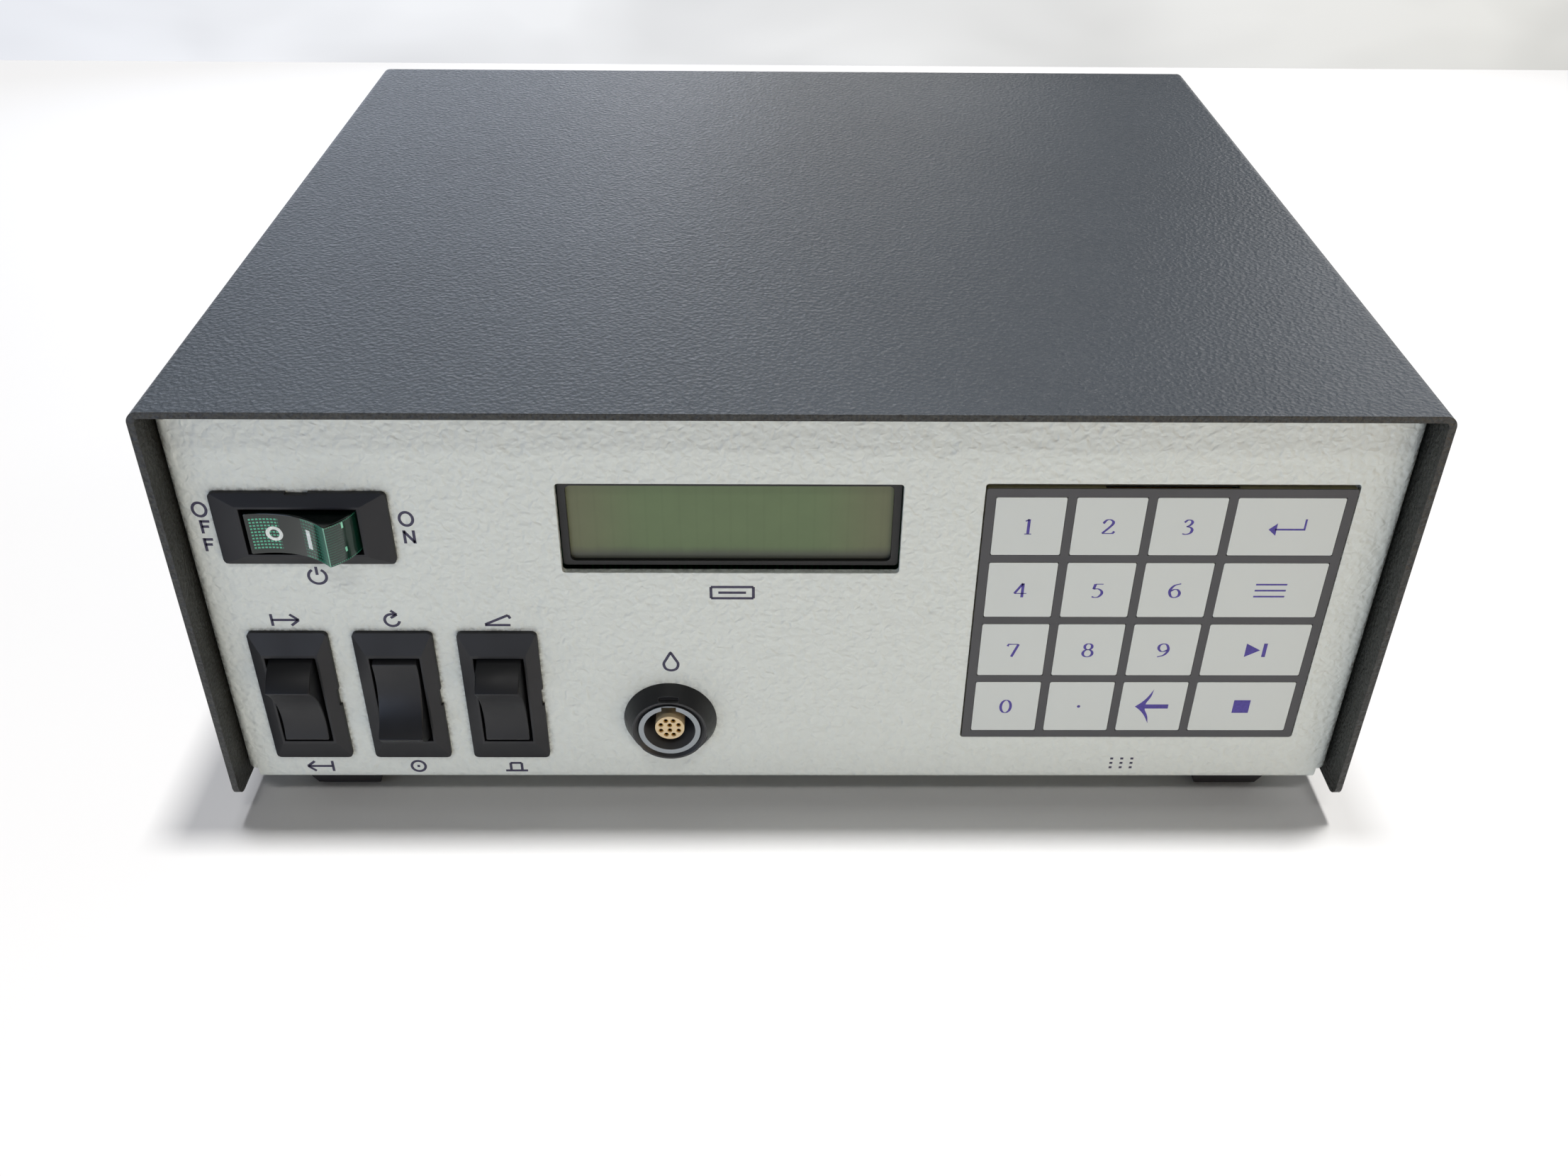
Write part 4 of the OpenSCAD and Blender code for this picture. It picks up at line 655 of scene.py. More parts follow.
def lamp_glass():
    """Blown glass of a small lamp: clear and thin, with slow ripples that bend the highlights"""
    material, tree = new_material("lamp glass")
    place = add_node(tree, "ShaderNodeTexCoord").outputs["Object"]
    ripples = add_node(tree, "ShaderNodeTexNoise", dict(zip(NOISE, (place, 0.6 / MM, 1.0, 0.5))))
    bump = add_node(tree, "ShaderNodeBump", {
        "Strength": 0.2, "Distance": 0.05 * MM, "Height": ripples.outputs["Fac"]})
    glass = add_node(tree, "ShaderNodeBsdfPrincipled", {
        "Base Color": linear_rgb("#f3e6cc"), "Roughness": 0.04, "IOR": 1.5,
        "Transmission Weight": 0.9, "Normal": bump.outputs["Normal"]})
    add_node(tree, "ShaderNodeOutputMaterial", {"Surface": glass.outputs["BSDF"]})
    return material


def printed_ink(name, colour):
    """Screen ink: a thin matte layer that is squeegeed through a mesh, a little uneven in tone.
    The mesh is finer than a tenth of a millimetre; its marks are drawn 0.7 mm wide, so that
    they show."""
    material, tree = new_material(name)
    place = add_node(tree, "ShaderNodeTexCoord").outputs["Object"]
    marks = add_node(tree, "ShaderNodeTexNoise", dict(zip(NOISE, (place, 1.5 / MM, 2.0, 0.6))))
    tone = add_node(tree, "ShaderNodeMapRange", dict(zip(
        SPAN, (marks.outputs["Fac"], *MIDDLE, 0.85, 1.2))))
    shade = add_node(tree, "ShaderNodeVectorMath", {
        0: tuple(colour)[:3], "Scale": tone.outputs["Result"]}, operation="SCALE")
    ink = add_node(tree, "ShaderNodeBsdfPrincipled", {
        "Base Color": shade.outputs["Vector"], "Roughness": 0.6, "IOR": 1.45})
    add_node(tree, "ShaderNodeOutputMaterial", {"Surface": ink.outputs["BSDF"]})
    return material


# Name, colour, roughness, width and depth of the grain, radius of the edges, index of
# refraction, CAD nodes; lengths in mm
PLASTICS = (
    ("black nylon", "#141519", 0.48, 0.25, 0.012, 0.25, 1.45,
     ("power_switch_housing", "selector_housings")),
    ("black polyester", "#232427", 0.45, 0.3, 0.01, 0.25, 1.5,
     ("inlet_body", "fuse_drawer", "jack_body")),
    ("natural rubber black", "#1c1c1e", 0.75, 0.5, 0.03, 0.25, 1.5, ("feet",)),
    ("moulding epoxy", "#2a2b2d", 0.55, 0.4, 0.01, 0.25, 1.5, ("board_parts",)),
    ("beige polymer", "#d9c39a", 0.5, 0.2, 0.005, 0.06, 1.5, ("socket_insert",)),
    ("milky acrylic", "#e4e6d6", 0.35, 0.5, 0.005, 0.25, 1.5, ("lcd_backlight",)),
    ("screened polyester film", "#454649", 0.55, 0.12, 0.004, 0.05, 1.5, ("keypad_film",)),
    ("matte polyester film", "#ccd2cf", 0.5, 0.12, 0.004, 0.05, 1.5,
     [f"key_{key}" for key in KEYS]),
    ("keypad laminate", "#6d6846", 0.4, 0.3, 0.01, 0.25, 1.5, ("keypad_circuit",)),
    ("amber polyimide", "#b06a1e", 0.25, 0.5, 0.004, 0.25, 1.5, ("keypad_tail",)),
    ("yellow polyester tape", "#b79a3e", 0.4, 0.8, 0.02, 0.25, 1.5, ("transformer_coil",)),
    ("black lacquered steel frame", "#0f1010", 0.5, 0.2, 0.006, 0.12, 1.5, ("lcd_frame",)),
)

# Name, colour, roughness, stretch of the marks, marks per mm, their depth, radius of the edges,
# colour and share of their edges' rubbing and painted highlight, metallic, CAD nodes; lengths in mm
METALS = (
    ("black oxide steel", "#2b2c2f", 0.4, (1, 1, 1), 0.9, 0.02, 0.15, "#d0d2d4", 0.25, 1.0,
     ("cover_screws",)),
    ("zinc plated steel", "#b9bdc4", 0.35, (1, 1, 4), 0.5, 0.006, 0.15, "#d0d2d4", 0.25, 1.0,
     ("clinch_nuts", "foot_screws", "lcd_standoffs", "socket_rear_nut", "jack_nut",
      "small_fasteners", "transformer_strap")),
    ("tinned brass", "#c4ad74", 0.3, (1, 4, 1), 0.5, 0.004, 0.15, "#d0d2d4", 0.25, 1.0,
     ("power_switch_blades", "selector_blades", "board_standoffs")),
    ("nickel plated brass", "#c9c6bc", 0.25, (1, 4, 1), 0.5, 0.004, 0.15, "#d0d2d4", 0.25, 1.0,
     ("inlet_pins",)),
    ("gold plated contact", "#c59a3a", 0.28, (1, 1, 1), 0.9, 0.003, 0.04, "#d0d2d4", 0.25, 1.0,
     ("socket_contacts",)),
    ("mill finish aluminium", "#a9adb2", 0.4, (1, 1, 8), 0.4, 0.006, 0.15, "#d0d2d4", 0.25, 1.0,
     ("keypad_backer", "heatsink")),
    ("varnished laminations", "#6e7076", 0.45, (1, 30, 1), 0.1, 0.05, 0.15, "#d0d2d4", 0.25, 1.0,
     ("transformer_core",)),
    # The anodised nut's pale edges, at a large share, are mostly a painted highlight on its front
    # lip
    ("black anodised aluminium", "#17181b", 0.42, (1, 1, 1), 0.7, 0.006, 0.14, "#7c7f84", 0.6,
     0.0, ("socket_front_nut",)),
)


class CONTROLLER_OT_paint_case(bpy.types.Operator):
    """Paints the cover and the chassis"""

    bl_idname = "controller.paint_case"
    bl_label = "Paint the case"

    def execute(self, context):
        finish = context.scene.controller_case
        samples = context.scene.controller_stage.samples
        dress(powder_coated_steel(finish, samples), "cover")
        dress(pebbled_enamel(finish, samples), "base", "front_panel", "rear_panel")
        return {"FINISHED"}


class CONTROLLER_OT_finish_parts(bpy.types.Operator):
    """Gives the moulded, turned and pressed parts their materials"""

    bl_idname = "controller.finish_parts"
    bl_label = "Finish the parts"

    def execute(self, context):
        samples = context.scene.controller_stage.samples
        for make, rows in ((moulded_plastic, PLASTICS), (worked_metal, METALS)):
            for *values, nodes in rows:
                dress(make(*values, samples), *nodes)
        dress(polarizer_glass(), "lcd_glass")
        dress(matte_chrome_shell(samples), "socket_shell")
        dress(solder_mask(samples), "lcd_board", "main_board")
        dress(lamp_glass(), "power_lamp")
        return {"FINISHED"}


def rocker_outline(sizes, count=720):
    """Side view of a rocker about its pivot, as angles and distances. In each direction the edge
    is the nearest of three: the circle of the ends, the circle that hollows the face and the
    flat skirt. Where two are about as near, they blend by the logarithm of their summed
    exponentials."""
    angle = np.linspace(-math.pi / 2, 1.5 * math.pi, count, endpoint=False)
    sine = np.sin(angle)
    centre = sizes.face_rise + sizes.face_radius
    inside = (centre * sine) ** 2 - centre ** 2 + sizes.face_radius ** 2
    hollow = np.where(
        (inside > 0) & (sine > 0), centre * sine - np.sqrt(np.maximum(inside, 0)), FAR)
    skirt = np.where(sine < 0, sizes.skirt / np.maximum(-sine, 0.01), FAR)
    sides = np.stack([np.full(count, sizes.end_radius), hollow, skirt])
    nearest = sides.min(0)
    soft = sizes.ridge_softness
    return angle, nearest - soft * np.log(np.exp((nearest - sides) / soft).sum(0))


def rocker_surface(sizes):
    """A rocker about its pivot: the outline is carried across its width, and at both sides it
    shrinks along a quarter circle. Points are (along, across, up). The pairs for the texture are
    the distance along the outline from the middle of the face and the place across, in mm."""
    angle, reach = rocker_outline(sizes)
    turn = np.linspace(0, math.pi / 2, 6)
    radius, half = sizes.edge_radius, sizes.width / 2
    inset = radius * (1 - np.cos(turn))
    across = half - radius + radius * np.sin(turn)
    inset, across = np.concatenate([inset[::-1], inset]), np.concatenate([across[::-1], -across])
    shrunk = reach[None, :] - inset[:, None]
    points = np.stack(np.broadcast_arrays(
        shrunk * np.cos(angle), across[:, None], shrunk * np.sin(angle)), -1)
    edge = np.stack([reach * np.cos(angle), reach * np.sin(angle)], -1)
    step = np.linalg.norm(np.diff(edge, axis=0), axis=1)
    walked = np.concatenate([[0], np.cumsum(step)])
    walked = walked[np.argmin(np.abs(angle - math.pi / 2))] - walked
    uv = np.stack(np.broadcast_arrays(walked[None, :], across[:, None]), -1).reshape(-1, 2) / MM
    rows, columns = len(across), len(angle)
    faces = grid_faces(rows, columns, ring=True)
    faces += [list(range(columns)), list(range((rows - 1) * columns, rows * columns))[::-1]]
    return points.reshape(-1, 3), [face[::-1] for face in faces], uv


def walk_to_ridge(sizes):
    """Length of the face from its middle to a ridge, where the hollow's circle crosses the circle
    of the ends: their centres lie one above the other, so the crossing's height follows from
    the difference of the two circles' equations"""
    centre = sizes.face_rise + sizes.face_radius
    height = (centre ** 2 - sizes.face_radius ** 2 + sizes.end_radius ** 2) / (2 * centre)
    reach = math.sqrt(sizes.end_radius ** 2 - height ** 2)
    return sizes.face_radius * math.asin(reach / sizes.face_radius)


def face_height(sizes, along):
    """Height of the hollow face over the pivot, along its length"""
    return sizes.face_rise + sizes.face_radius - np.sqrt(sizes.face_radius ** 2 - along ** 2)


def tilted(points, tilt):
    """Turns (along, across, up) about the pivot: the end at positive along goes down by tilt"""
    along = points[:, 0] * math.cos(tilt) + points[:, 2] * math.sin(tilt)
    up = points[:, 2] * math.cos(tilt) - points[:, 0] * math.sin(tilt)
    return along, points[:, 1], up


def set_in_panel(points, joint, tilt, upright):
    """Puts a rocker's points at its joint in the front panel. Its length runs to the right, or
    downwards if it is upright, and the rocker's own up points out of the panel."""
    x, y, z = JOINTS[joint]["pos_m"]
    along, across, up = tilted(points, tilt)
    if upright:
        return np.stack([x + across, y - up, z - along], -1)
    return np.stack([x + along, y - up, z + across], -1)


def lens_plastic(sizes):
    """Clear green polycarbonate lens, polished outside and ribbed inside so that it spreads the
    lamp's light. Its depth looks nearly black. The moulded ribs catch the light as rows of pale
    dashes under the low end, as fine lines in the end facet and as beads along the edges. A
    milky sheen on the slope to the ridge, a pale line along the ridge and two glints near the
    high end are painted highlights, and the flanks are painted nearly black as painted shade.
    The ribs are drawn 0.5 to 0.8 mm apart, about as coarse as they must be to show. Lengths along
    and across the lens are in mm."""
    material, tree = new_material("green polycarbonate lens")
    flat = add_node(tree, "ShaderNodeUVMap", uv_map="Outline")
    axes = add_node(tree, "ShaderNodeSeparateXYZ", {"Vector": flat.outputs["UV"]}).outputs
    along, across = axes["X"], axes["Y"]
    aside = add_node(tree, "ShaderNodeMath", {0: across}, operation="ABSOLUTE").outputs[0]
    ridge = walk_to_ridge(sizes) / MM
    edge = sizes.width / MM / 2
    end = 30  # past both ends of the lens
    on = {}
    # Part, what it is measured by, pitch, and the share of the pitch that shows
    for part, value, pitch, shown in (
            ("dash", along, 0.75, 0.66), ("row", across, 0.78, 0.5),
            ("rib", across, 0.6, 0.4), ("bead", along, 0.5, 0.5)):
        fold = add_node(tree, "ShaderNodeMath", {0: value, 1: pitch / 2}, operation="PINGPONG")
        on[part] = add_node(tree, "ShaderNodeMath", {
            0: fold.outputs[0], 1: pitch / 2 * (1 - shown)}, operation="GREATER_THAN").outputs[0]
    # Part, what it is measured by, where it starts and where it ends
    for part, value, low, high in (
            ("low end", along, -8.8, -2.8), ("dashed width", across, -3.7, 4.1),
            ("high half", along, 2.7, end), ("before ridge", along, -end, ridge),
            ("after ridge", along, ridge, end), ("ridge", along, ridge - 0.12, ridge + 0.08),
            ("beaded rim", aside, edge - 0.5, edge - 0.28), ("flank", aside, edge - 0.12, end),
            ("glint end", along, ridge + 3.9, ridge + 4.4), ("upper glint", across, 3.1, 4.5),
            ("lower glint", across, -2.6, -1.5)):
        on[part] = add_node(tree, "ShaderNodeMath", {
            0: value, 1: (low + high) / 2, 2: (high - low) / 2}, operation="COMPARE").outputs[0]
    # Part, how it fades, from where to where along the lens, and from which share to which
    for part, fade, *span in (
            ("milky", "SMOOTHSTEP", ridge - 3.2, ridge - 1.4, 0.0, 0.7),
            ("facet", "LINEAR", ridge, ridge + 4.5, 1.0, 0.15)):
        on[part] = add_node(tree, "ShaderNodeMapRange", dict(zip(SPAN, (along, *span))),
                            interpolation_type=fade).outputs["Result"]
    for part, one, other in (
            ("dashes", "dash", "row"), ("dashes low", "dashes", "low end"),
            ("dashes low", "dashes low", "dashed width"),
            ("dashes high", "dashes", "high half"),
            ("dashes high", "dashes high", "before ridge"),
            ("slope", "milky", "before ridge"), ("facet", "facet", "after ridge"),
            ("facet ribs", "facet", "rib"), ("beads", "bead", "beaded rim"),
            ("beads", "beads", "high half"), ("upper glint", "upper glint", "glint end"),
            ("lower glint", "lower glint", "glint end")):
        on[part] = add_node(tree, "ShaderNodeMath", {
            0: on[one], 1: on[other]}, operation="MULTIPLY").outputs[0]
    # The milky slope, the ridge line and the glints are painted highlights and the flanks painted
    # shade; the rest is the lens's own colour and its ribs
    colour = linear_rgb("#071612")
    for part, tint in (
            ("high half", "#0a2a20"), ("dashes low", "#4fae8c"), ("dashes high", "#236b55"),
            ("slope", "#4f8271"), ("facet", "#0b2b22"), ("facet ribs", "#1a4d3e"),
            ("beads", "#3c8f74"), ("ridge", "#74b59c"), ("upper glint", "#8fe0c0"),
            ("lower glint", "#8fe0c0"), ("flank", "#050e0b")):
        colour = add_node(tree, "ShaderNodeMix", {
            "Factor": on[part], 6: colour, 7: linear_rgb(tint)}, data_type="RGBA",
            clamp_factor=True).outputs[2]
    lens = add_node(tree, "ShaderNodeBsdfPrincipled", {
        "Base Color": colour, "Roughness": 0.12, "IOR": 1.585})
    add_node(tree, "ShaderNodeOutputMaterial", {"Surface": lens.outputs["BSDF"]})
    return material


class CONTROLLER_OT_make_rockers(bpy.types.Operator):
    """Makes the green power rocker with its two marks and the three black rockers"""

    bl_idname = "controller.make_rockers"
    bl_label = "Make the rockers"

    def execute(self, context):
        sizes, samples = context.scene.controller_rockers, context.scene.controller_stage.samples
        points, faces, uv = rocker_surface(sizes)
        black = moulded_plastic(
            "satin black nylon", "#121317", 0.45, 0.22, 0.01, 0.15, 1.45, samples)
        placed = set_in_panel(points, "power_tilt", -sizes.tilt, upright=False)
        make_piece("power_lens", placed, faces, lens_plastic(sizes), "power_rocker",
                   ["power_rocker"], uv)
        downwards = [face[::-1] for face in faces]
        for name, side in (("jog", 1), ("mode", -1), ("trigger", 1)):
            placed = set_in_panel(points, f"{name}_tilt", side * sizes.tilt, upright=True)
            make_piece(f"{name}_paddle", placed, downwards, black, f"{name}_rocker",
                       [f"{name}_rocker"], uv)
        self.marks(sizes)
        return {"FINISHED"}

    def marks(self, sizes):
        """A ring and a bar of hot-stamped foil, wrapped on the hollow face of the power rocker"""
        foil = printed_ink("white stamping foil", linear_rgb("#dfe6e2"))
        ring = oval(-4.0 * MM, 0, 1.4 * MM, 1.4 * MM)[:-1]
        bar = np.linspace([4.1 * MM, -2.4 * MM], [4.1 * MM, 2.3 * MM], 9)
        points, faces = join([
            stroke(ring, 0.74 * MM, FOIL_HIGH, FOIL_LOW, closed=True),
            stroke(bar, 1.05 * MM, FOIL_HIGH, FOIL_LOW)])
        points[:, 2] += face_height(sizes, points[:, 0])
        placed = set_in_panel(points, "power_tilt", -sizes.tilt, upright=False)
        make_piece("power_marks", placed, faces, foil, "power_rocker",
                   smooth=False)


def digit_strokes():
    """Middle lines of the digits, in heights of a digit about the middle of its foot. The pen's
    wide strokes and its hairlines follow from each line's direction."""
    six = curve_through([
        (.18, .97), (-.05, .85), (-.18, .6), (-.2, .35), (-.12, .08), (.02, 0), (.16, .12),
        (.18, .35), (.08, .55), (-.05, .56), (-.17, .45)])
    return {
        "0": [oval(0, .49, .2, .49)],
        "1": [np.linspace((0, .98), (0, 0), 8), np.array([(-.13, .86), (-.06, .9), (0, .97)]),
              np.array([(-.13, .01), (0, .01), (.13, .01)])],
        "2": [curve_through([
            (-.2, .72), (-.1, .93), (.03, .97), (.15, .85), (.15, .68), (.02, .42), (-.2, .06)]),
            np.array([(-.2, .06), (.12, .06), (.2, .08), (.24, .2)])],
        "3": [curve_through([
            (-.16, .8), (-.05, .95), (.08, .93), (.13, .78), (.05, .6), (-.06, .53)]),
            curve_through([
                (-.06, .53), (.1, .46), (.17, .3), (.12, .1), (-.03, .01), (-.17, .05)])],
        "4": [np.linspace((.07, .97), (-.22, .27), 6), np.linspace((-.22, .27), (.24, .27), 6),
              np.linspace((.08, .97), (.08, 0), 8)],
        "5": [np.linspace((-.12, .93), (.18, .93), 5), np.linspace((-.12, .93), (-.17, .58), 5),
              curve_through([
                  (-.17, .58), (0, .6), (.14, .45), (.16, .25), (.05, .04), (-.1, 0), (-.2, .06)])],
        "6": [six],
        "7": [np.array([(-.22, .78), (-.19, .92), (0, .92), (.2, .92)]),
              np.linspace((.2, .92), (-.03, 0), 8)],
        "8": [oval(0, .75, .145, .22), oval(0, .26, .185, .265)],
        "9": [-six + np.array([0, .97])],
    }


def arrow_left(length):
    """Outline of a left arrow: a thin bar whose head is a crescent, its tip at the left"""
    bar = 0.08 * length
    upper = curve_through([(-.5, 0), (-.33, .15), (-.17, .36), (-.02, .66)], 6) * length
    inner = curve_through([(-.02, .66), (-.07, .38), (-.18, .14)], 6)[1:] * length
    top = np.vstack([upper, inner, [(-.19 * length, bar), (.5 * length, bar)]])
    bottom = top[:0:-1] * (1, -1)
    return np.vstack([top, bottom])[::-1]


class CONTROLLER_OT_print_keys(bpy.types.Operator):
    """Prints the digits, the dot, the arrow and four plain symbols on the keys"""

    bl_idname = "controller.print_keys"
    bl_label = "Print the keys"

    def execute(self, context):
        sizes = context.scene.controller_print
        ink = printed_ink("violet screen ink", sizes.key_ink)
        high = sizes.ink_thickness
        shapes = {name: self.digit(lines, sizes.digit_height, high)
                  for name, lines in digit_strokes().items()}
        shapes["dot"] = patch(oval(0, 0, 0.38 * MM, 0.38 * MM, steps=20)[:-1], high, -high)
        shapes["back"] = patch(arrow_left(7.7 * MM), high, -high)
        shapes.update(self.symbols(high))
        for name, (points, faces) in shapes.items():
            low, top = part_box(f"key_{name}")
            middle = (low + top) / 2
            placed = facing_front(points, middle.x, low.y, middle.z)
            make_piece(f"print_{name}", placed, faces, ink, f"key_{name}",
                       smooth=False)
        return {"FINISHED"}

    def digit(self, lines, height, high):
        """A digit about its own middle, as ink strokes of a broad pen"""
        strokes = []
        for line in lines:
            path = (line * (DIGIT_SPREAD, 1) - np.array([0, 0.5])) * height
            looped = np.allclose(path[0], path[-1])
            path = path[:-1] if looped else path
            width = pen_width(path, PEN_THIN, PEN_THICK)
            strokes.append(stroke(path, width, high, -high, closed=looped))
        return join(strokes)

    def symbols(self, high):
        """Plain signs for the four wide keys: a return arrow, a list, a step onwards and a
        square, from lines and filled outlines in mm"""
        drawings = {
            "enter": ([[(4, 2), (4, -.6), (-2.2, -.6)]], KEY_LINE,
                      [[(-1.9, .95), (-3.6, -.6), (-1.9, -2.15)]]),
            "program": ([[(-3.4, h), (3.4, h)] for h in (1.6, 0, -1.6)], KEY_LINE, []),
            "next": ([[(2.1, -1.9), (2.1, 1.9)]], 2 * KEY_LINE,
                     [[(-2.2, -1.9), (1.1, 0), (-2.2, 1.9)]]),
            "stop": ([], KEY_LINE, [[(-1.9, -1.9), (1.9, -1.9), (1.9, 1.9), (-1.9, 1.9)]]),
        }
        return {
            name: join([stroke(np.array(line) * MM, width, high, -high) for line in lines]
                       + [patch(np.array(outline) * MM, high, -high) for outline in outlines])
            for name, (lines, width, outlines) in drawings.items()}


class CONTROLLER_OT_print_panel(bpy.types.Operator):
    """Prints the letters of off and on and the plain signs beside the switches on the panel"""

    bl_idname = "controller.print_panel"
    bl_label = "Print the panel"

    def execute(self, context):
        sizes = context.scene.controller_print
        ink = printed_ink("violet black screen ink", sizes.panel_ink)
        high, tall = sizes.ink_thickness, sizes.letter_height
        letters = {
            "O": [oval(0, 0, 0.42 * tall, 0.5 * tall)],
            "F": [np.array(ends) * tall for ends in (
                [(-.24, -.5), (-.24, .5)], [(-.24, .41), (.32, .41)], [(-.24, .02), (.22, .02)])],
            "N": [np.array(ends) * tall for ends in (
                [(-.3, -.5), (-.3, .5)], [(-.3, .42), (.3, -.42)], [(.3, -.5), (.3, .5)])],
        }
        spots = [(letters[letter], x, up) for letter, x, up in (
            ("O", -123.4, 76.0), ("F", -123.0, 71.7), ("F", -123.2, 67.2),
            ("O", -80.9, 73.8), ("N", -80.8, 69.3))]
        drawn = []
        for lines, x, up in spots + self.signs():
            for path in lines:
                looped = np.allclose(path[0], path[-1])
                points, faces = stroke(
                    path[:-1] if looped else path, PANEL_LINE, high, -high, closed=looped)
                placed = facing_front(points, x * MM, PANEL_FACE, PANEL_FOOT + up * MM)
                drawn.append((placed, faces))
        points, faces = join(drawn)
        make_piece("panel_print", points, faces, ink, "case", smooth=False)
        return {"FINISHED"}

    def signs(self):
        """Lines of the plain signs and where they stand on the panel, in mm from its foot"""
        def chain(*corners):
            return [np.array(pair, float) for pair in zip(corners[:-1], corners[1:])]

        out = (chain((-3, 0), (2.6, 0)) + chain((1.1, 1.5), (2.9, 0), (1.1, -1.5))
               + chain((-3, 1.6), (-3, -1.6)))
        back = [path * (-1, 1) for path in out]
        power = [oval(0, 0, 1.9, 1.9, 120, 300), np.array([(0, .4), (0, 2.5)])]
        loop = [oval(0, 0, 1.6, 1.6, 60, 290)] + chain((0, 2.6), (1.2, 1.5), (-.2, .6))
        dot = [oval(0, 0, 1.6, 1.6), np.array([(0, -.35), (0, .35)])]
        pedal = chain((-2.8, -1.3), (2.8, -1.3)) + chain((-2.7, -1.1), (2.5, 1.4), (2.9, .5))
        button = (chain((-2.6, -1.4), (2.6, -1.4))
                  + chain((-1.3, -1.2), (-1.3, 1), (1.3, 1), (1.3, -1.2)))
        drop = curve_through([
            (0, 2.9), (.9, 1.2), (1.6, -.3), (1.2, -1.7), (0, -2.2), (-1.2, -1.7), (-1.6, -.3),
            (-.9, 1.2), (0, 2.9)])
        window = (chain((-4.6, 1.5), (4.6, 1.5), (4.6, -1.5), (-4.6, -1.5), (-4.6, 1.5))
                  + chain((-3, 0), (3, 0)))
        points = [np.array([(x - .35, y), (x + .35, y)])
                  for x in (-2.4, 0, 2.4) for y in (-1.4, 0, 1.4)]
        return [([path * MM for path in lines], x, up) for lines, x, up in (
            (power, -101.9, 59.1), (out, -111.0, 47.4), (loop, -87.7, 47.4),
            (pedal, -64.7, 47.4), (back, -111.0, 4.3), (dot, -87.8, 4.3),
            (button, -64.7, 4.3), ([drop], -27.0, 35.6), (window, -13.0, 55.0),
            (points, 78.8, 5.4))]


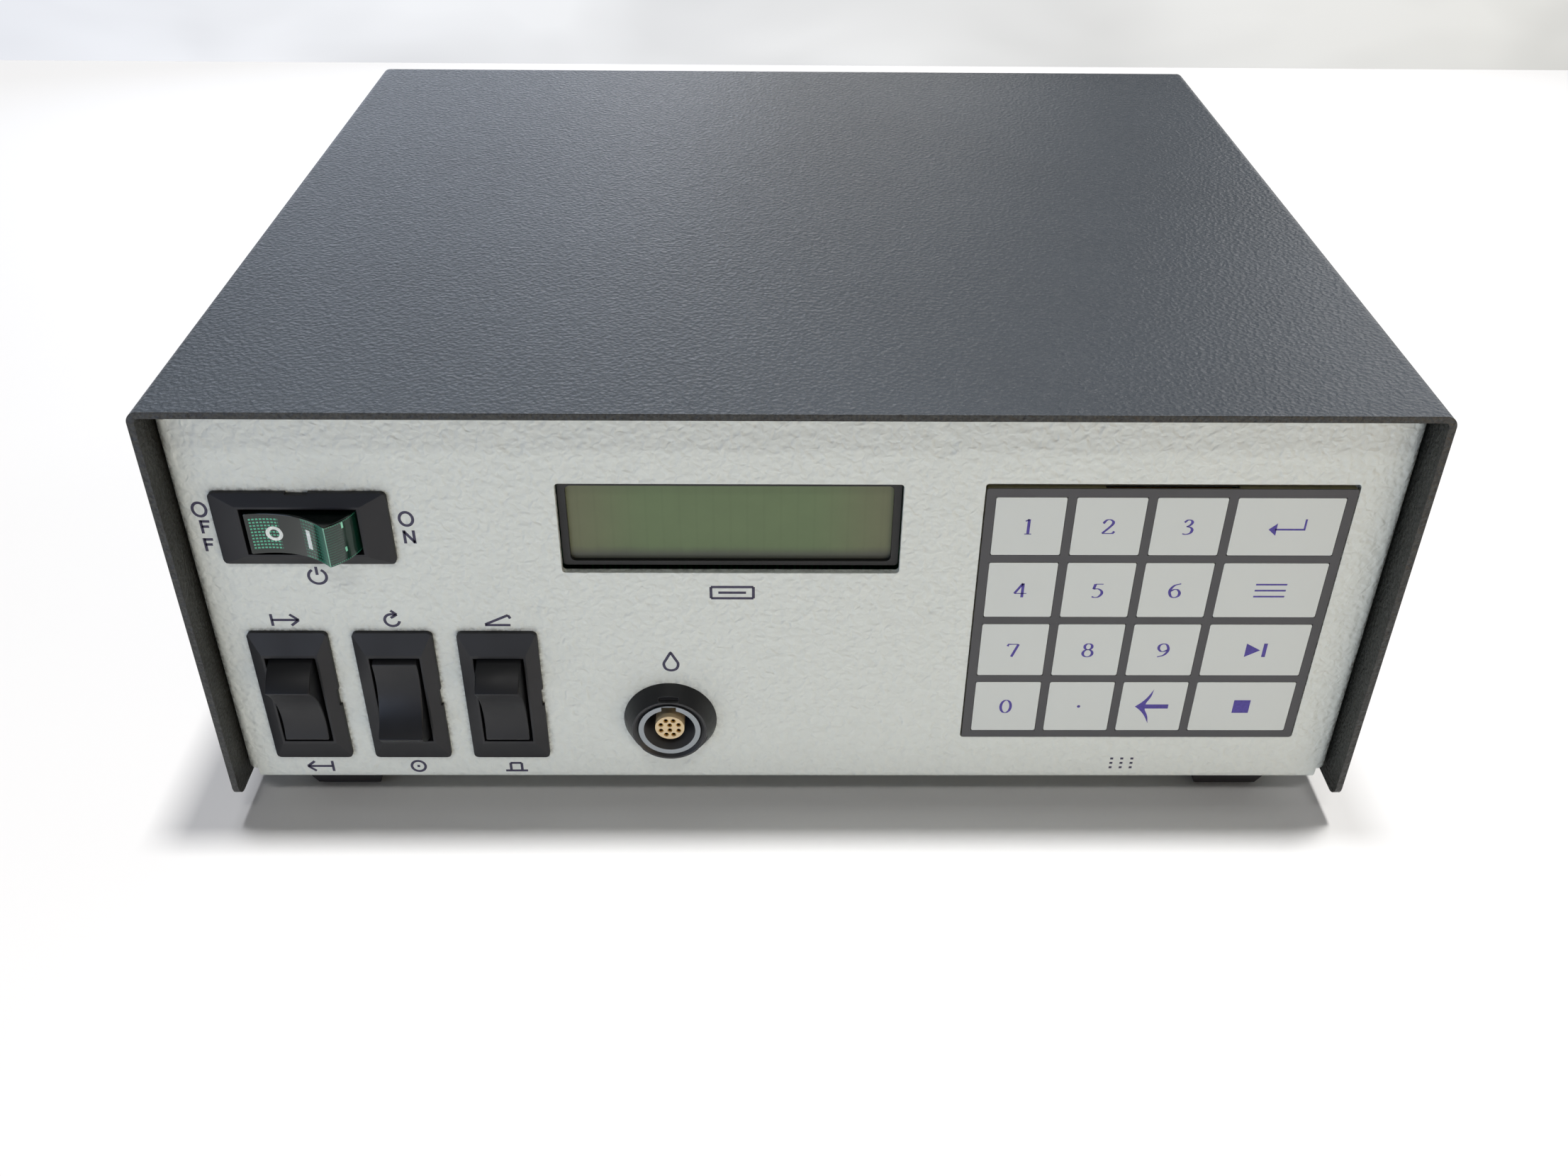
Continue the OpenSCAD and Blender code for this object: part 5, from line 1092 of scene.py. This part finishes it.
class CONTROLLER_OT_set_stage(bpy.types.Operator):
    """Sets the table, the cloth behind it, the lamps, the world and the camera"""

    bl_idname = "controller.set_stage"
    bl_label = "Set the stage"

    def execute(self, context):
        sizes = context.scene.controller_stage
        self.table(sizes)
        self.cloth(sizes)
        self.lamps(context.scene, sizes)
        self.camera(context.scene, sizes)
        return {"FINISHED"}

    def table(self, sizes):
        """Level sheet whose back edge turns down over a quarter circle"""
        material, tree = new_material("white table laminate")
        laminate = add_node(tree, "ShaderNodeBsdfPrincipled", {
            "Base Color": linear_rgb("#e6e6e7"), "Roughness": 0.6})
        add_node(tree, "ShaderNodeOutputMaterial", {"Surface": laminate.outputs["BSDF"]})
        turn = np.linspace(0, math.pi / 2, 9)
        rounded = sizes.table_depth - TABLE_EDGE + TABLE_EDGE * np.sin(turn)
        y = np.concatenate([[-TABLE_REACH], rounded, [sizes.table_depth]])
        z = np.concatenate([[0.0], TABLE_EDGE * (np.cos(turn) - 1), [-TABLE_SKIRT]])
        x = np.linspace(-TABLE_REACH, TABLE_REACH, 3)
        points = np.stack(np.broadcast_arrays(x[None, :], y[:, None], z[:, None]), -1)
        new_object(
            "table", points.reshape(-1, 3), grid_faces(len(y), len(x)), material)

    def cloth(self, sizes):
        """Hanging cloth: the sum of two waves across it. Its top rises and falls again along two
        smooth steps, so that the cover mirrors it most at the left of its middle."""
        x = np.linspace(-CLOTH_REACH, CLOTH_REACH, 161)[None, :]
        share = np.linspace(0, 1, 25)[:, None]
        rise, fall = (1 / (1 + np.exp(sign * (middle - x) / softness)) for sign, middle, softness
                      in ((1, *CLOTH_RISE), (-1, *CLOTH_FALL)))
        top = CLOTH_LOW + (sizes.cloth_height - CLOTH_LOW) * rise * fall
        z = CLOTH_FOOT + share * (top - CLOTH_FOOT)
        waves = sum(depth * np.sin(along * x + up * z) for depth, along, up in CLOTH_WAVES)
        points = np.stack(np.broadcast_arrays(x, sizes.table_depth + CLOTH_GAP + waves, z), -1)
        new_object("cloth", points.reshape(-1, 3), grid_faces(share.size, x.size),
                            self.cotton())

    def cotton(self):
        """Plain white cotton in the room's own light: washed and hung, so that soft creases cross
        it, and their shading is painted into its glow. It shines by itself where the camera, a
        mirror or a glass shows it, bluer and brighter at the left, and throws hardly any light on
        the table."""
        material, tree = new_material("white cotton cloth")
        place = add_node(tree, "ShaderNodeTexCoord").outputs["Object"]
        spread = add_node(tree, "ShaderNodeMapping", {"Vector": place, "Scale": (1, 1, 2.2)})
        creases = add_node(tree, "ShaderNodeTexNoise", {
            **dict(zip(NOISE, (spread.outputs["Vector"], 5.0, 2.5, 0.5))), "Distortion": 0.5})
        across = add_node(tree, "ShaderNodeSeparateXYZ", {"Vector": place}).outputs["X"]
        shade, to_right, dimmer = (
            add_node(tree, "ShaderNodeMapRange", dict(zip(SPAN, values))).outputs["Result"]
            for values in ((creases.outputs["Fac"], 0.35, 0.65, 0.78, 0.92),
                           (across, *CLOTH_TINTED, *WHOLE), (across, *CLOTH_TINTED, 1.1, 0.87)))
        rays = add_node(tree, "ShaderNodeLightPath").outputs
        glow = rays["Is Camera Ray"]
        for operation, value in (("MAXIMUM", rays["Is Glossy Ray"]),
                                 ("MAXIMUM", rays["Is Transmission Ray"]),
                                 ("MULTIPLY", shade), ("MULTIPLY", dimmer)):
            glow = add_node(tree, "ShaderNodeMath", {
                0: glow, 1: value}, operation=operation).outputs[0]
        tint = add_node(tree, "ShaderNodeMix", {
            "Factor": to_right, 6: linear_rgb("#f4f7ff"), 7: linear_rgb("#f9f8f2")},
            data_type="RGBA")
        cotton = add_node(tree, "ShaderNodeBsdfPrincipled", {
            "Base Color": linear_rgb("#3a3a3c"), "Roughness": 0.85})
        light = add_node(tree, "ShaderNodeEmission", {
            "Color": tint.outputs[2], "Strength": glow})
        both = add_node(tree, "ShaderNodeAddShader", {
            0: cotton.outputs["BSDF"], 1: light.outputs["Emission"]})
        add_node(tree, "ShaderNodeOutputMaterial", {"Surface": both.outputs["Shader"]})
        return material

    def lamps(self, scene, sizes):
        """Two ceiling lamps, a high one in front, a window-like one at the front left, low soft
        ones at the back that give the cover its sheen, cool and warm ones low in front, and an
        even world that is brighter to the camera than to the surfaces"""
        over, front, window = sizes.key_power, sizes.second_power, sizes.fill_power
        card, low = sizes.card_power, sizes.bounce_power / 2
        # Name, place, what it is aimed at, width and height, power, tint
        lamps = (
            ("ceiling_right", (0.42, 0.08, 3.6), (0.42, 0.08, 0), (0.3, 0.35),
             0.68 * over, "#fffdf9"),
            ("ceiling_left", (-0.22, 0.08, 3.6), (-0.22, 0.08, 0), (0.25, 0.35),
             0.32 * over, "#fbfcff"),
            ("ceiling_front", (0.1, -1.75, 2.75), (0, 0, 0.06), (0.9, 0.3), front, "#fffdf9"),
            ("window", (-1.1, -1.2, 0.9), (-0.02, -0.05, 0.05), (1.0, 0.9), window, "#e8f0ff"),
            ("card_left", (-0.22, 0.5, 0.2), (-0.1, 0, 0.11), (0.4, 0.2), card, "#dfeaff"),
            ("card_right", (0.45, 0.45, 0.30), (0.1, -0.1, 0.11), (0.3, 0.3),
             1.6 * card, "#fffdfc"),
            ("card_back", (0.02, 0.47, 0.22), (0, 0, 0.11), (0.25, 0.08), 0.32 * card, "#fff8f0"),
            ("low_left", (-0.55, -0.85, 0.06), (-0.05, 0, 0.05), (0.6, 0.12), low, "#c4d8ff"),
            ("low_right", (0.6, -0.85, 0.12), (0.05, 0, 0.06), (0.6, 0.14), 1.3 * low, "#ffe2bc"),
        )
        for name, place, target, size, power, tint in lamps:
            lamp = bpy.data.lights.new(name, "AREA")
            lamp.shape = "RECTANGLE"
            lamp.size, lamp.size_y = size
            lamp.energy = power
            lamp.color = linear_rgb(tint)[:3]
            holder = bpy.data.objects.new(name, lamp)
            x, y, z = np.subtract(target, place)
            holder.location = place
            holder.rotation_euler = (
                math.atan2(math.hypot(x, y), -z), 0, math.atan2(y, x) - math.pi / 2)
            scene.collection.objects.link(holder)
        world = bpy.data.worlds.new("even room")
        world.use_nodes = True
        tree = world.node_tree
        tree.nodes.clear()
        seen = add_node(tree, "ShaderNodeLightPath").outputs["Is Camera Ray"]
        strength = add_node(tree, "ShaderNodeMath", {
            0: seen, 1: WORLD_SEEN, 2: WORLD_LIGHT}, operation="MULTIPLY_ADD")
        sky = add_node(tree, "ShaderNodeBackground", {
            "Color": linear_rgb("#f4f6fa"), "Strength": strength.outputs[0]})
        add_node(tree, "ShaderNodeOutputWorld", {"Surface": sky.outputs["Background"]})
        scene.world = world

    def camera(self, scene, sizes):
        """Camera solved from the corners of the case in the photograph"""
        lens = bpy.data.cameras.new("bench view")
        lens.lens = sizes.focal_length
        lens.sensor_width = CAMERA_SENSOR
        lens.sensor_fit = "HORIZONTAL"
        lens.clip_start = CAMERA_NEAR
        holder = bpy.data.objects.new("bench view", lens)
        holder.location = CAMERA_PLACE
        holder.rotation_euler = [math.radians(angle) for angle in CAMERA_TURN]
        scene.collection.objects.link(holder)
        scene.camera = holder
        scene.view_settings.view_transform = "Standard"


PROPERTY_GROUPS = {
    "controller_case": CaseFinish,
    "controller_rockers": RockerSizes,
    "controller_print": PrintSizes,
    "controller_stage": StageSizes,
}
OPERATORS = (
    CONTROLLER_OT_paint_case,
    CONTROLLER_OT_finish_parts,
    CONTROLLER_OT_make_rockers,
    CONTROLLER_OT_print_keys,
    CONTROLLER_OT_print_panel,
    CONTROLLER_OT_set_stage,
)


class CONTROLLER_PT_finish(bpy.types.Panel):
    """Lists the sizes, the colours and the steps of the finish"""

    bl_label = "Controller finish"
    bl_space_type = "VIEW_3D"
    bl_region_type = "UI"
    bl_category = "Controller"

    def draw(self, context):
        for name, group in PROPERTY_GROUPS.items():
            box = self.layout.box()
            for field in group.__annotations__:
                box.prop(getattr(context.scene, name), field)
        for operator in OPERATORS:
            self.layout.operator(operator.bl_idname)


def register():
    """Registers the property groups, the operators and the panel"""
    for name, group in PROPERTY_GROUPS.items():
        bpy.utils.register_class(group)
        setattr(bpy.types.Scene, name, PointerProperty(type=group))
    for operator in OPERATORS:
        bpy.utils.register_class(operator)
    bpy.utils.register_class(CONTROLLER_PT_finish)


def unregister():
    """Takes out what register put in, in the opposite order"""
    bpy.utils.unregister_class(CONTROLLER_PT_finish)
    for operator in reversed(OPERATORS):
        bpy.utils.unregister_class(operator)
    for name, group in reversed(PROPERTY_GROUPS.items()):
        delattr(bpy.types.Scene, name)
        bpy.utils.unregister_class(group)


def main():
    register()
    for operator in OPERATORS:
        group, step = operator.bl_idname.split(".")
        getattr(getattr(bpy.ops, group), step)()
    bpy.context.view_layer.update()


if __name__ == "__main__":
    main()
